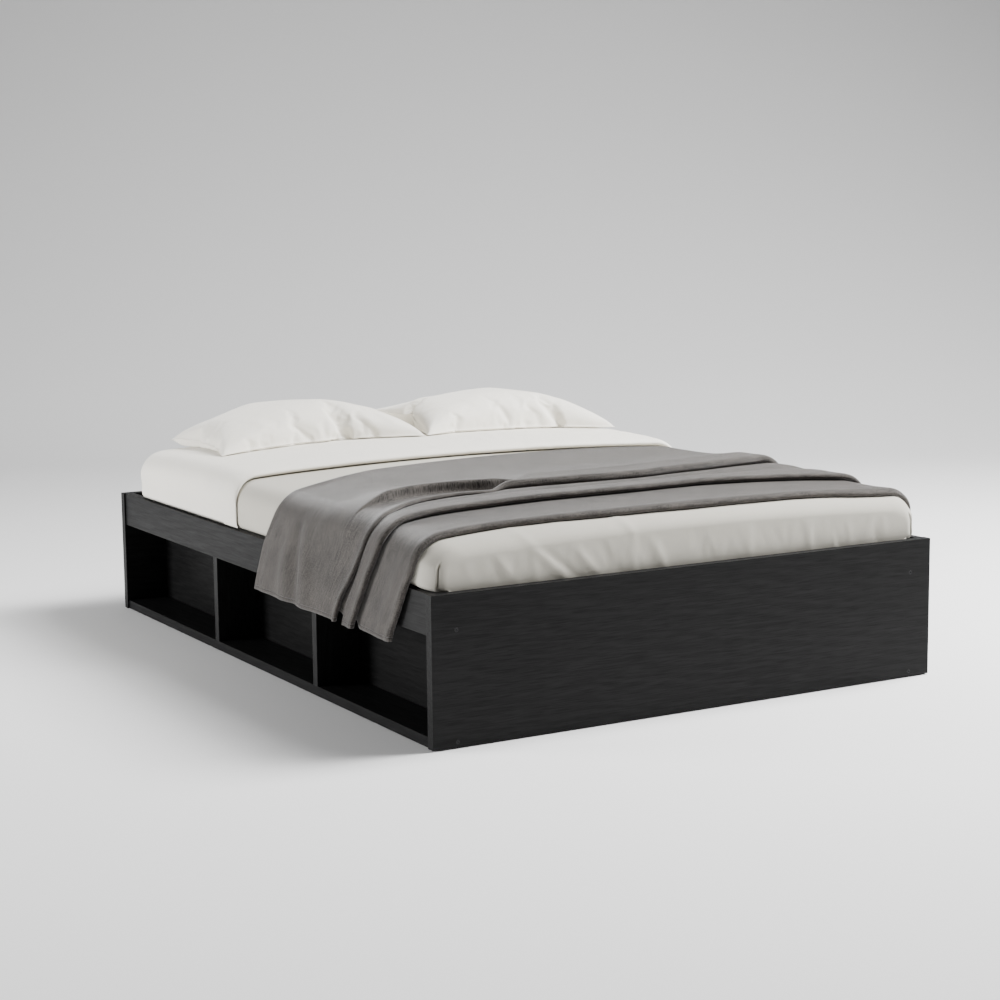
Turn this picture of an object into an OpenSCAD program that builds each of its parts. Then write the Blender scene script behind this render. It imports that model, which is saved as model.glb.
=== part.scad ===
// Low platform bed with open shelf bays along both sides, shown made up: a mattress in a
// fitted sheet, a quilt laid over its head half, two pillows and a woven throw.
// Millimetres. X is across the bed, Y runs from the foot (-Y) to the head (+Y), Z is up.
// The origin is on the floor, at the centre of the footprint.

/* [Frame] */
// Overall length, outer face of the foot panel to outer face of the head panel
bed_l = 2000; // [1980:1:2100]
// Overall width across the two end panels
bed_w = 1456; // [1440:1:1600]
// Thickness of the panels, rails, shelf boards and dividers
board_t = 25; // [18:0.5:26]
// Height of the two end panels
panel_h = 355; // [345:1:400]
// Thickness of the glides under the frame
glide_h = 3; // [2:0.5:10]
// Diameter of the glides
glide_d = 20; // [12:1:24]
// Height of the side rails
rail_h = 96; // [90:1:120]
// How far the rails stand back from the ends of the end panels
rail_inset = 5; // [0:0.5:15]

/* [Shelf bays] */
// Depth of a bay, from the face of the rail to the back panel
bay_depth = 125; // [100:1:160]
// Length of the bay at the head
bay_head = 690; // [550:1:720]
// Length of the middle bay
bay_middle = 615; // [500:1:640]
// Thickness of the back panels
back_t = 15; // [9:0.5:18]

/* [Mattress support] */
// Number of slats
slat_count = 13; // [9:1:14]
// Width of a slat
slat_w = 70; // [50:1:90]
// Thickness of a slat
slat_t = 15; // [12:0.5:22]
// Gap between a slat's end and the rail
slat_gap = 3; // [1:0.5:8]
// Distance from the end panels to the middle of the first and last slats
slat_margin = 60; // [50:1:80]
// Thickness of the centre beam
beam_t = 28; // [20:1:40]
// Height of the centre beam
beam_h = 100; // [60:1:120]
// Number of legs under the centre beam
leg_count = 3; // [1:1:4]
// Diameter of the leg tube
leg_d = 38; // [30:1:50]
// Wall of the leg tube
leg_wall = 1.5; // [1:0.1:3]
// Side of the square plate on top of a leg
leg_plate = 60; // [50:1:90]
// Diameter of a levelling foot
foot_d = 50; // [40:1:60]
// Thickness of steel plate in the brackets and leg plates
plate_t = 3; // [2:0.5:5]

/* [Fasteners] */
// Shank diameter of the connecting bolts
bolt_d = 6.4; // [5:0.1:8]
// Head diameter of the connecting bolts
bolt_head_d = 10; // [8:0.5:12]
// Length of a connecting bolt
bolt_l = 60; // [45:1:70]
// Distance of the connecting bolts from the ends of the end panels
bolt_inset = 64; // [50:1:90]
// Diameter of the wood dowels
dowel_d = 8; // [6:0.5:10]
// Length of a wood dowel
dowel_l = 36; // [30:1:40]
// Depth of a dowel in an end panel
dowel_in = 12; // [8:0.5:14]
// Diameter of the cam housings in the rails
cam_d = 15; // [12:0.5:20]
// Distance of a cam's centre from the end of its rail
cam_reach = 34; // [24:1:40]
// Shank diameter of the wood screws
screw_d = 4; // [3:0.1:5]
// Head diameter of the wood screws
screw_head_d = 8; // [6:0.5:10]

/* [Mattress and bedding] */
// Gap between the mattress and each side rail
side_gap = 8; // [4:0.5:30]
// Gap between the mattress and the head panel
head_gap = 65; // [16:1:120]
// Height of the mattress at the middle of its long edges
mattress_h = 184; // [140:1:220]
// How much higher the middle of the mattress is than its long edges
crown = 16; // [4:1:25]
// How much lower the mattress is at its ends than at mid length
end_fall = 24; // [4:1:30]
// How far the mattress swells out over each rail
swell = 24.5; // [10:0.5:26]
// Gap between the foot panel and the mattress
foot_gap = 5; // [3.5:0.5:15]
// Thickness of the fitted sheet
sheet_t = 2; // [1:0.1:3]
// Thickness of the quilt on top of the bed
quilt_t = 30; // [15:1:45]
// Thickness of the quilt where it hangs at the sides
quilt_side_t = 5; // [3:0.5:8]
// Length of the quilt on the bed, from its front edge to the head end of the mattress
quilt_l = 760; // [600:1:1000]
// Width of a pillow
pillow_w = 670; // [560:1:690]
// Depth of a pillow, head to foot
pillow_d = 455; // [380:1:500]
// Height of a pillow at its middle
pillow_h = 122; // [80:1:160]
// Thickness of the throw
throw_t = 6; // [3:0.5:8]
// Width of the throw along the middle of the bed
throw_w = 1012; // [600:1:1030]
// Distance of the throw from the foot end of the mattress
throw_foot = 48; // [40:1:90]
// Height of the throw's folds on top of the bed
fold_h = 16; // [6:1:24]
// Depth of the throw's pleats where it hangs
pleat_h = 26; // [8:1:34]
// Height of the throw's hem above the floor on the left side
hem_left = 222; // [60:1:320]
// Height of the throw's hem above the floor on the right side
hem_right = 250; // [60:1:320]

/* [Hidden] */
$fn = 48;
clear = 0.3;            // gap between pieces that lie on each other without a fixing
hole_gap = 0.1;         // how much wider a hole is than what passes through it
in_l = bed_l - 2 * board_t;
rail_out = bed_w / 2 - rail_inset;
rail_in = rail_out - board_t;
back_out = rail_out - bay_depth;
back_in = back_out - back_t;
floor_z = glide_h;
shelf_z = floor_z + board_t;
top_z = floor_z + panel_h;
rail_z = top_z - rail_h;
deck_z = rail_z + board_t;
slat_z = deck_z + slat_t;
divider_y = [in_l / 2 - bay_head - board_t / 2, in_l / 2 - bay_head - bay_middle - 1.5 * board_t];
slat_pitch = (in_l - 2 * slat_margin) / (slat_count - 1);
slat_half = rail_in - slat_gap;
slat_screw_x = (rail_in + back_in) / 2;
bolt_x = bed_w / 2 - bolt_inset;
bolt_z = [floor_z + board_t / 2, rail_z + board_t / 2];
bolt_head_h = 4;
dowel_step = 26;
dowel_x = [bolt_x + dowel_step, bolt_x - dowel_step];
rail_x = (rail_out + rail_in) / 2;
rail_dowel_z = [rail_z + rail_h / 5, top_z - rail_h / 5];
cam_z = rail_z + rail_h / 2;
cam_h = 12.5;
cam_bolt_d = 6;
cam_bolt_in = 12;
screw_head_h = 2.5;
screw_l = 38;
divider_screw_in = 26;  // how deep a divider screw goes into its divider
slat_screw_l = slat_t + 18;
beam_end = 1;           // gap between the beam and the brackets that hold it
beam_z = deck_z - beam_h;
bracket_reach = 40;
bracket_w = beam_t + 60;
cheek = beam_t / 2 + beam_end;
bracket_screw_x = (cheek + plate_t + bracket_w / 2) / 2;
bracket_screw_l = 16;
leg_screw_l = 25;
leg_screw_in = 6;       // distance of a leg screw from the edge of its plate
leg_y = [for (i = [1:leg_count]) -in_l / 2 + i * in_l / (leg_count + 1)];
stem_d = 10;
nut_d = 18;             // lock nut between a levelling foot and its tube
nut_h = 14;
foot_h = 10;
foot_top_d = 22;
tube_floor = 5;         // thickness of the tube's threaded bottom plug
stem_in = 17;           // how far the stem goes up into the tube
tube_z = foot_h + nut_h;
tube_top = beam_z - plate_t;
glide_inset = 60;
glide_end = 120;
glide_x = [bed_w / 2 - glide_inset, 0, -bed_w / 2 + glide_inset];
glide_y = [-in_l / 2 + glide_end, -in_l / 6, in_l / 6, in_l / 2 - glide_end];
mattress_w = 2 * (rail_in - side_gap);
mattress_l = in_l - foot_gap - head_gap;

// ---- shared shapes ----

// A box from its lowest corner to its highest.
module block(low, high) { translate(low) cube(high - low); }

// A round bar from a point, along X, Y or Z by its length, which may be negative.
module bar_x(p, d, l) { translate(p) rotate([0, l < 0 ? -90 : 90, 0]) cylinder(d = d, h = abs(l)); }
module bar_y(p, d, l) { translate(p) rotate([l < 0 ? 90 : -90, 0, 0]) cylinder(d = d, h = abs(l)); }
module bar_z(p, d, l) { translate(p) rotate([l < 0 ? 180 : 0, 0, 0]) cylinder(d = d, h = abs(l)); }

// A screw set in from a face: a flat head and a shank, both along the same way.
module screw_x(p, way, d, l, head_d, head_h) {
    bar_x(p, head_d, way * head_h);
    bar_x(p + [way * head_h, 0, 0], d, way * (l - head_h));
}
module screw_y(p, way, d, l, head_d, head_h) {
    bar_y(p, head_d, way * head_h);
    bar_y(p + [0, way * head_h, 0], d, way * (l - head_h));
}
module screw_z(p, way, d, l, head_d, head_h) {
    bar_z(p, head_d, way * head_h);
    bar_z(p + [0, 0, way * head_h], d, way * (l - head_h));
}

// The places of the fasteners, each run for the solids and again, a little wider, for their holes.
module connecting_bolt_set(gap) {
    for (end = [-1, 1], side = [-1, 1], z = bolt_z)
        screw_y([side * bolt_x, end * bed_l / 2, z], -end, bolt_d + gap, bolt_l + gap,
                bolt_head_d + gap, bolt_head_h + gap);
}
module dowel_set(gap) {
    for (end = [-1, 1], side = [-1, 1]) {
        for (x = dowel_x, z = bolt_z)
            bar_y([side * x, end * (in_l / 2 + dowel_in + gap / 2), z], dowel_d + gap,
                  -end * (dowel_l + gap));
        for (z = rail_dowel_z)
            bar_y([side * rail_x, end * (in_l / 2 + dowel_in + gap / 2), z], dowel_d + gap,
                  -end * (dowel_l + gap));
    }
}
module cam_set(gap) {
    for (end = [-1, 1], side = [-1, 1])
        bar_x([side * rail_in, end * (in_l / 2 - cam_reach), cam_z], cam_d + gap, side * (cam_h + gap));
}
module cam_bolt_set(gap) {
    for (end = [-1, 1], side = [-1, 1])
        bar_y([side * rail_x, end * (in_l / 2 + cam_bolt_in + gap / 2), cam_z], cam_bolt_d + gap,
              -end * (cam_bolt_in + cam_reach - cam_d / 2 + gap));
}
module divider_screw_set(gap) {
    for (side = [-1, 1], y = divider_y, part = [0.3, 0.75]) {
        screw_z([side * (rail_out - part * bay_depth), y, floor_z], 1, screw_d + gap,
                board_t + divider_screw_in + gap, screw_head_d + gap, screw_head_h + gap);
        screw_z([side * (rail_out - part * bay_depth), y, deck_z], -1, screw_d + gap,
                board_t + divider_screw_in + gap, screw_head_d + gap, screw_head_h + gap);
    }
}
module back_screw_set(gap) {
    for (side = [-1, 1]) {
        for (y = divider_y, z = [rail_z / 3, rail_z * 0.8])
            screw_x([side * back_in, y, z], side, screw_d + gap, screw_l + gap,
                    screw_head_d + gap, screw_head_h + gap);
        for (y = glide_y)
            screw_x([side * back_in, y, floor_z + board_t / 2], side, screw_d + gap, screw_l + gap,
                    screw_head_d + gap, screw_head_h + gap);
    }
}
module slat_screw_set(gap) {
    for (i = [1:slat_count], side = [-1, 1])
        screw_z([side * slat_screw_x, slat_y(i), slat_z], -1, screw_d + gap, slat_screw_l + gap,
                screw_head_d + gap, screw_head_h + gap);
}
module bracket_screw_set(gap) {
    for (end = [-1, 1], side = [-1, 1], part = [0.25, 0.75])
        screw_y([side * bracket_screw_x, end * (in_l / 2 - plate_t), beam_z + part * beam_h], end,
                screw_d + gap, bracket_screw_l + plate_t + gap, screw_head_d + gap,
                plate_t / 2);
}
module leg_screw_set(gap) {
    for (y = leg_y, end = [-1, 1])
        screw_z([0, y + end * (leg_plate / 2 - leg_screw_in), beam_z - plate_t], 1, screw_d + gap,
                leg_screw_l + gap, screw_head_d + gap, plate_t / 2);
}
function slat_y(i) = -in_l / 2 + slat_margin + (i - 1) * slat_pitch;

// ---- panels and boards ----

// One of the two full-height end panels; end is -1 at the foot and 1 at the head.
module end_panel(end) {
    difference() {
        translate([0, end * (bed_l - board_t) / 2, floor_z + panel_h / 2])
            cube([bed_w, board_t, panel_h], center = true);
        connecting_bolt_set(hole_gap);
        dowel_set(hole_gap);
        cam_bolt_set(hole_gap);
        bracket_screw_set(hole_gap);
    }
}

module side_rail(side) {
    difference() {
        translate([side * rail_x, 0, rail_z + rail_h / 2]) cube([board_t, in_l, rail_h], center = true);
        dowel_set(hole_gap);
        cam_set(hole_gap);
        cam_bolt_set(hole_gap);
    }
}

// The floor of the three bays.
module bottom_board(side) {
    difference() {
        translate([side * (rail_out + back_out) / 2, 0, floor_z + board_t / 2])
            cube([bay_depth, in_l, board_t], center = true);
        connecting_bolt_set(hole_gap);
        dowel_set(hole_gap);
        divider_screw_set(hole_gap);
        back_screw_set(hole_gap);
    }
}

// The board over the bays, behind the rail, which carries the slats.
module top_board(side) {
    difference() {
        translate([side * (rail_in + back_in) / 2, 0, rail_z + board_t / 2])
            cube([rail_in - back_in, in_l, board_t], center = true);
        connecting_bolt_set(hole_gap);
        dowel_set(hole_gap);
        divider_screw_set(hole_gap);
        slat_screw_set(hole_gap);
    }
}

module back_panel(side) {
    difference() {
        translate([side * (back_out + back_in) / 2, 0, (floor_z + rail_z) / 2])
            cube([back_t, in_l, rail_z - floor_z], center = true);
        back_screw_set(hole_gap);
    }
}

module divider(side, y) {
    difference() {
        translate([side * (rail_out + back_out) / 2, y, (shelf_z + rail_z) / 2])
            cube([bay_depth, board_t, rail_z - shelf_z], center = true);
        divider_screw_set(hole_gap);
        back_screw_set(hole_gap);
    }
}

module foot_panel() { color([0.09, 0.09, 0.095]) end_panel(-1); }
module head_panel() { color([0.09, 0.09, 0.095]) end_panel(1); }
module left_side_rail() { color([0.12, 0.12, 0.125]) side_rail(-1); }
module right_side_rail() { color([0.12, 0.12, 0.125]) side_rail(1); }
module left_bottom_board() { color([0.1, 0.1, 0.105]) bottom_board(-1); }
module right_bottom_board() { color([0.1, 0.1, 0.105]) bottom_board(1); }
module left_top_board() { color([0.1, 0.1, 0.105]) top_board(-1); }
module right_top_board() { color([0.1, 0.1, 0.105]) top_board(1); }
module left_back_panel() { color([0.08, 0.08, 0.085]) back_panel(-1); }
module right_back_panel() { color([0.08, 0.08, 0.085]) back_panel(1); }
module left_head_divider() { color([0.11, 0.11, 0.115]) divider(-1, divider_y[0]); }
module left_foot_divider() { color([0.11, 0.11, 0.115]) divider(-1, divider_y[1]); }
module right_head_divider() { color([0.11, 0.11, 0.115]) divider(1, divider_y[0]); }
module right_foot_divider() { color([0.11, 0.11, 0.115]) divider(1, divider_y[1]); }

// ---- mattress support ----

module centre_beam() {
    color([0.76, 0.64, 0.47])
    difference() {
        translate([0, 0, beam_z + beam_h / 2])
            cube([beam_t, in_l - 2 * (plate_t + beam_end), beam_h], center = true);
        leg_screw_set(hole_gap);
    }
}

// A steel pocket on an end panel that the beam drops into: a back plate, two cheeks and a floor.
module beam_bracket(end) {
    face = in_l / 2;
    color([0.3, 0.3, 0.32])
    difference() {
        scale([1, end, 1]) union() {
            block([-bracket_w / 2, face - plate_t, beam_z - plate_t], [bracket_w / 2, face, deck_z]);
            block([-cheek - plate_t, face - bracket_reach, beam_z - plate_t],
                  [cheek + plate_t, face - plate_t, beam_z]);
            for (side = [-1, 1])
                block([side * cheek + (side < 0 ? -plate_t : 0), face - bracket_reach, beam_z],
                      [side * cheek + (side < 0 ? 0 : plate_t), face - plate_t, deck_z]);
        }
        bracket_screw_set(hole_gap);
    }
}
module head_beam_bracket() { beam_bracket(1); }
module foot_beam_bracket() { beam_bracket(-1); }

// A steel tube with a plate on top for the beam and a threaded plug at the bottom.
module centre_leg(i) {
    color([0.15, 0.15, 0.16])
    difference() {
        union() {
            translate([-leg_plate / 2, leg_y[i - 1] - leg_plate / 2, tube_top])
                cube([leg_plate, leg_plate, plate_t]);
            bar_z([0, leg_y[i - 1], tube_z], leg_d, tube_top - tube_z);
        }
        bar_z([0, leg_y[i - 1], tube_z + tube_floor], leg_d - 2 * leg_wall, tube_top - tube_z - tube_floor);
        bar_z([0, leg_y[i - 1], tube_z - 1], stem_d + hole_gap, tube_floor + 2);
        leg_screw_set(hole_gap);
    }
}

// Round levelling feet, each with its threaded stem up through the tube's plug.
module leg_feet() {
    color([0.06, 0.06, 0.065])
    for (y = leg_y) {
        bar_z([0, y, 0], foot_d, foot_h / 2);
        translate([0, y, foot_h / 2]) cylinder(d1 = foot_d, d2 = foot_top_d, h = foot_h / 2);
        bar_z([0, y, foot_h], stem_d, nut_h + stem_in);
        bar_z([0, y, foot_h], nut_d, nut_h);
    }
}

module slat(i) {
    color([0.8, 0.68, 0.5])
    difference() {
        translate([0, slat_y(i), deck_z + slat_t / 2]) cube([2 * slat_half, slat_w, slat_t], center = true);
        slat_screw_set(hole_gap);
    }
}

// ---- fasteners and glides ----

// Flat-headed bolts with a hexagon socket, through the end panels into the shelf boards.
module connecting_bolts() {
    color([0.35, 0.35, 0.36])
    difference() {
        connecting_bolt_set(0);
        for (end = [-1, 1], side = [-1, 1], z = bolt_z)
            translate([side * bolt_x, end * (bed_l / 2 + 1), z]) rotate([end * 90, 0, 0])
                cylinder(d = 0.45 * bolt_head_d, h = 3.5, $fn = 6);
    }
}
module wood_dowels() { color([0.8, 0.68, 0.5]) dowel_set(0); }
module rail_cams() {
    color([0.6, 0.6, 0.62])
    difference() {
        cam_set(0);
        for (end = [-1, 1], side = [-1, 1])
            translate([side * (rail_in + 0.5), end * (in_l / 2 - cam_reach), cam_z])
                cube([2.5, 1.4, 0.6 * cam_d], center = true);
    }
}
module rail_cam_bolts() { color([0.6, 0.6, 0.62]) cam_bolt_set(0); }
module divider_screws() { color([0.55, 0.53, 0.45]) divider_screw_set(0); }
module back_panel_screws() { color([0.55, 0.53, 0.45]) back_screw_set(0); }
module slat_screws() { color([0.55, 0.53, 0.45]) slat_screw_set(0); }
module bracket_screws() { color([0.55, 0.53, 0.45]) bracket_screw_set(0); }
module leg_screws() { color([0.55, 0.53, 0.45]) leg_screw_set(0); }

module floor_glides() {
    color([0.2, 0.2, 0.2]) {
        for (end = [-1, 1], x = glide_x)
            bar_z([x, end * (bed_l - board_t) / 2, 0], glide_d, glide_h);
        for (side = [-1, 1], y = glide_y)
            bar_z([side * (rail_out - glide_d), y, 0], glide_d, glide_h);
    }
}

// ---- bedding: one cross-section carried along the bed and rounded off at its ends ----

bed_z = slat_z + clear;             // underside of the mattress
mat_half = mattress_w / 2;
mat_out = mat_half + swell;
shoulder_r = 64;                    // radius of the mattress's long top edges
flat_half = mat_out - shoulder_r;   // half width of the top between the rounded edges
edge_z = bed_z + mattress_h;
lip_z = top_z + 5;                  // where the mattress swells out, just above the rails
foot_y = -in_l / 2 + foot_gap;
head_y = foot_y + mattress_l;
foot_round = [46, 60, 36];          // rounding at the foot: in plan across, along, and down
head_round = [96, 96, 40];          // the same at the head
arc = [0, 20, 40, 60, 80];
turns = [0, 22, 45, 67, 90];

// A side of the section from the bottom up, as [x, z, way out across, way out up].
side_pts = concat(
    [[mat_half - 8, bed_z, 1, 0], [mat_half, bed_z + 12, 1, 0], [mat_half, lip_z - 0.5, 0.9, -0.35],
     [mat_out - 6, lip_z, 0.9, -0.35], [mat_out, lip_z + 12, 1, 0]],
    [for (a = arc) [mat_out - shoulder_r * (1 - cos(a)), edge_z - shoulder_r * (1 - sin(a)),
                    cos(a), sin(a)]]);
function crown_z(x) = edge_z + crown * (1 - pow(min(1, abs(x) / flat_half), 2));
section = concat(
    [for (p = side_pts) [-p[0], p[1], -p[2], p[3]]],
    [for (k = [-4:4]) let (x = k / 4 * flat_half) [x, crown_z(x), 0, 1]],
    [for (k = [len(side_pts) - 1:-1:0]) side_pts[k]]);
bulge_from = 3;                     // first section point above the rails

// How far the top has fallen at y, and how much of a fall a point at height z takes part in.
function fall(y) = end_fall * pow(abs(y - (foot_y + head_y) / 2) / (mattress_l / 2), 4);
function rise(z) = max(0, min(1, (z - lip_z) / (edge_z - lip_z)));

// Stations along the bed: [y, inset across, drop of the top, share of an offset taken along Y].
function station(y, round, a, way) =
    [y, round[0] * (1 - sin(a)), fall(y) + round[2] * (1 - sin(a)), way * cos(a)];
foot_stations = [for (a = turns) station(foot_y + foot_round[1] * (1 - cos(a)), foot_round, a, -1)];
head_stations = [for (k = [len(turns) - 1:-1:0])
    station(head_y - head_round[1] * (1 - cos(turns[k])), head_round, turns[k], 1)];
middle_stations = [for (k = [1:6]) station(foot_y + k / 7 * mattress_l, head_round, 90, 0)];
stations = concat(foot_stations, middle_stations, head_stations);

// Section point p at station s, grown by off.
function ring_point(p, s, off) =
    let (x = p[0] + off * p[2], in = min(abs(p[0]) / mat_half, 1) * s[1])
    [x - sign(x) * in, s[0] + off * s[3], p[1] - s[2] * rise(p[1]) + off * p[3]];
function ring(pts, s, off) = [for (p = pts) ring_point(p, s, off)];
// The row where a sheet ends, drawn together along the lower edge of the mattress's end face.
function end_row(pts, s, off, low) = [for (q = ring(pts, s, off))
    [q[0] * 0.985, q[1], low + clear + (q[2] - low) * 0.02]];

// Triangles between rows of equal length, seen from outside with the rows running away.
function strip(rows, cols, from = 0, wrap = false) = [
    for (r = [0:rows - 2], c = [0:cols - (wrap ? 1 : 2)])
        let (a = from + r * cols + c, b = from + r * cols + (c + 1) % cols, d = a + cols, e = b + cols)
        each [[a, b, e], [a, e, d]]];
function flip(faces) = [for (f = faces) [f[2], f[1], f[0]]];
function fan(first, count) = [for (k = [1:count - 2]) [first, first + k, first + k + 1]];
// A shell between two grids of the same size, the outer one first: both faces, then the four edges.
function shell_faces(rows, cols) =
    let (n = rows * cols, last = n - cols)
    concat(strip(rows, cols), flip(strip(rows, cols, n)),
        [for (c = [0:cols - 2]) each [[c, c + n, c + 1], [c + 1, c + n, c + 1 + n]]],
        [for (c = [last:last + cols - 2]) each [[c, c + 1, c + n], [c + 1, c + 1 + n, c + n]]],
        [for (a = [0:cols:last - 1]) each [[a, a + cols, a + n], [a + cols, a + cols + n, a + n]]],
        [for (a = [cols - 1:cols:last - 1]) each [[a, a + n, a + cols], [a + cols, a + n, a + cols + n]]]);

module mattress() {
    n = len(section);
    points = [for (s = stations) each ring(section, s, 0)];
    color([0.9, 0.89, 0.86])
        polyhedron(points, concat(strip(len(stations), n, 0, true), flip(fan(0, n)),
                                  fan((len(stations) - 1) * n, n)));
}

// The fitted sheet, close over the mattress and down almost to the slats.
sheet_section = [for (k = [1:len(section) - 2]) section[k]];
module fitted_sheet() {
    low = sheet_section[0][1];
    function grid(off) = concat(end_row(sheet_section, stations[0], off, low),
        [for (s = stations) each ring(sheet_section, s, off)],
        end_row(sheet_section, stations[len(stations) - 1], off, low));
    color([0.86, 0.85, 0.82])
        polyhedron(concat(grid(clear + sheet_t), grid(clear)),
                   shell_faces(len(stations) + 2, len(sheet_section)));
}

// The quilt over the head half: a rounded front edge, full height further up, thin at the sides
// and over the head end.
on_sheet = 2 * clear + sheet_t;     // from the mattress to the underside of what lies on the sheet
hem_mid = head_y - quilt_l;         // front edge of the quilt at the middle of the bed
hem_side = hem_mid - 32;            // and where it hangs at the sides
hem_rows = [0, 3, 10, 22, 80, 160];
hem_shares = [0.12, 0.38, 0.6, 0.68, 0.85, 1];
back_rows = 4;                      // rows between the front edge and the head end's rounding
quilt_side = [mat_out, lip_z, 1, 0];
quilt_cols = concat([[-quilt_side[0], lip_z, -1, 0]],
    [for (k = [bulge_from + 1:len(section) - 2 - bulge_from]) section[k]], [quilt_side]);
function hem_y(x) = hem_side + (hem_mid - hem_side) * (1 - pow(min(1, abs(x) / mat_out), 6));
function back_y(k) = let (from = hem_mid + hem_rows[len(hem_rows) - 1])
    from + k / (back_rows + 1) * (head_y - head_round[1] - from);
function quilt_h(p, share) = share * (quilt_side_t + (quilt_t - quilt_side_t) * max(0, p[3]));
module quilt() {
    last = head_stations[len(head_stations) - 1];
    // thick is 1 for the outer face and 0 for the inner one.
    function grid(thick) = concat(
        [for (k = [0:len(hem_rows) - 1], p = quilt_cols) let (y = hem_y(p[0]) + hem_rows[k])
            ring_point(p, station(y, head_round, 90, 0), on_sheet + thick * quilt_h(p, hem_shares[k]))],
        [for (k = [1:back_rows], p = quilt_cols)
            ring_point(p, station(back_y(k), head_round, 90, 0), on_sheet + thick * quilt_h(p, 1))],
        [for (s = head_stations, p = quilt_cols)
            ring_point(p, s, on_sheet + thick * quilt_h(p, 1 - 0.5 * s[3]))],
        end_row(quilt_cols, last, on_sheet + thick * quilt_side_t, lip_z));
    color([0.88, 0.87, 0.84])
        polyhedron(concat(grid(1), grid(0)),
                   shell_faces(len(hem_rows) + back_rows + len(head_stations) + 1, len(quilt_cols)));
}

// ---- pillows ----

pillow_meet = 25;                   // where the two pillows meet, right of the bed's middle
pillow_from_head = 240;             // distance of their middles from the mattress's head end
pillow_left_at = [pillow_meet - 2 - pillow_w / 2, head_y - pillow_from_head - 2];
pillow_right_at = [pillow_meet + 2 + pillow_w / 2, head_y - pillow_from_head + 2];
function bed_top(x, y) = crown_z(x) - fall(y) + on_sheet + quilt_t + clear;
// A point of a pillow, u and v from -1 to 1: full in the middle, drawn in along its sides, with
// a seam that stands clear of the bed all round.
function pillow_point(at, u, v, top) =
    let (x = at[0] + pillow_w / 2 * u * (1 - 0.05 * (1 - v * v)),
         y = at[1] + pillow_d / 2 * v * (1 - 0.07 * (1 - u * u)),
         body = (1 - pow(abs(u), 2.6)) * (1 - pow(abs(v), 2.6)),
         seam = 6 + 20 * (1 - pow(u * v, 4)))
    [x, y, bed_top(x, y) + (top ? seam + (pillow_h - seam) * pow(body, 0.55)
                                : seam * (1 - min(1, 4 * body)))];
module pillow(at) {
    cols = 19;
    rows = 13;
    n = cols * rows;
    function grid(top) = [for (r = [0:rows - 1], c = [0:cols - 1])
        pillow_point(at, 2 * c / (cols - 1) - 1, 2 * r / (rows - 1) - 1, top)];
    // The rim is shared: a lower point on the rim is the upper one.
    function rim(k) = k % cols == 0 || k % cols == cols - 1 || k < cols || k >= n - cols;
    function lower(k) = rim(k) ? k : n + k;
    // Each cell is cut from its outer corner inwards, so that no triangle lies in the rim.
    faces = [for (r = [0:rows - 2], c = [0:cols - 2])
        let (a = r * cols + c, b = a + 1, d = a + cols, e = d + 1)
        each (2 * r < rows - 1) == (2 * c < cols - 1) ? [[a, b, e], [a, e, d]] : [[a, b, d], [b, e, d]]];
    polyhedron(concat(grid(true), grid(false)),
               concat(faces, [for (f = faces) [lower(f[2]), lower(f[1]), lower(f[0])]]));
}
module pillow_left() { color([0.9, 0.89, 0.86]) pillow(pillow_left_at); }
module pillow_right() { color([0.9, 0.89, 0.86]) pillow(pillow_right_at); }

// ---- the throw ----

rail_clear = 1.2;                   // gap between the hanging cloth and the rail's face
hang_out = 2.5;                     // how far the cloth stands out at its hem and over the rail
// Section points of the throw from its left hem over the bed to its right hem, inner side.
function hang(side, hem) = [
    for (p = [[rail_out + rail_clear + hang_out, hem], [rail_out + rail_clear + 2, (hem + top_z) / 2],
              [rail_out + rail_clear, top_z - 4], [mat_out + on_sheet + hang_out, top_z + 26]])
    [side * p[0], p[1], side, 0]];
throw_over = [for (k = [bulge_from + 2:len(section) - 3 - bulge_from]) let (p = section[k])
    [p[0] + on_sheet * p[2], p[1] + on_sheet * p[3], p[2], p[3]]];
throw_cols = concat(hang(-1, hem_left), throw_over, [for (k = [3:-1:0]) hang(1, hem_right)[k]]);

// Lines that the cloth follows from side to side: both hems, the crest of a soft ridge and the two
// pleats. Each is [on the middle, left edge, right edge, low on the left, low on the right], as
// shares of the throw's width from its foot hem, and bends to the edges by a power of x.
head_hem = [1, 0.763, 1, 0.911, 0.97];
ridge = [0.516, 0.387, 0.387, 0.457, 0.437];
pleat_1 = [0.392, 0.252, 0.298, 0.377, 0.348];
pleat_2 = [0.192, 0.155, 0.17, 0.298, 0.239];
foot_hem = [0, -0.016, -0.016, 0.111, 0.061];
function hanging(z) = min(1, max(0, (top_z + 50 - z) / 190));
function along(shares, bend, x, z) =
    let (edge = shares[x < 0 ? 1 : 2], low = shares[x < 0 ? 3 : 4],
         share = shares[0] + (edge - shares[0]) * pow(min(1, abs(x) / mat_out), bend)
                 + (low - edge) * hanging(z))
    foot_y + throw_foot + share * throw_w;

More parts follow.
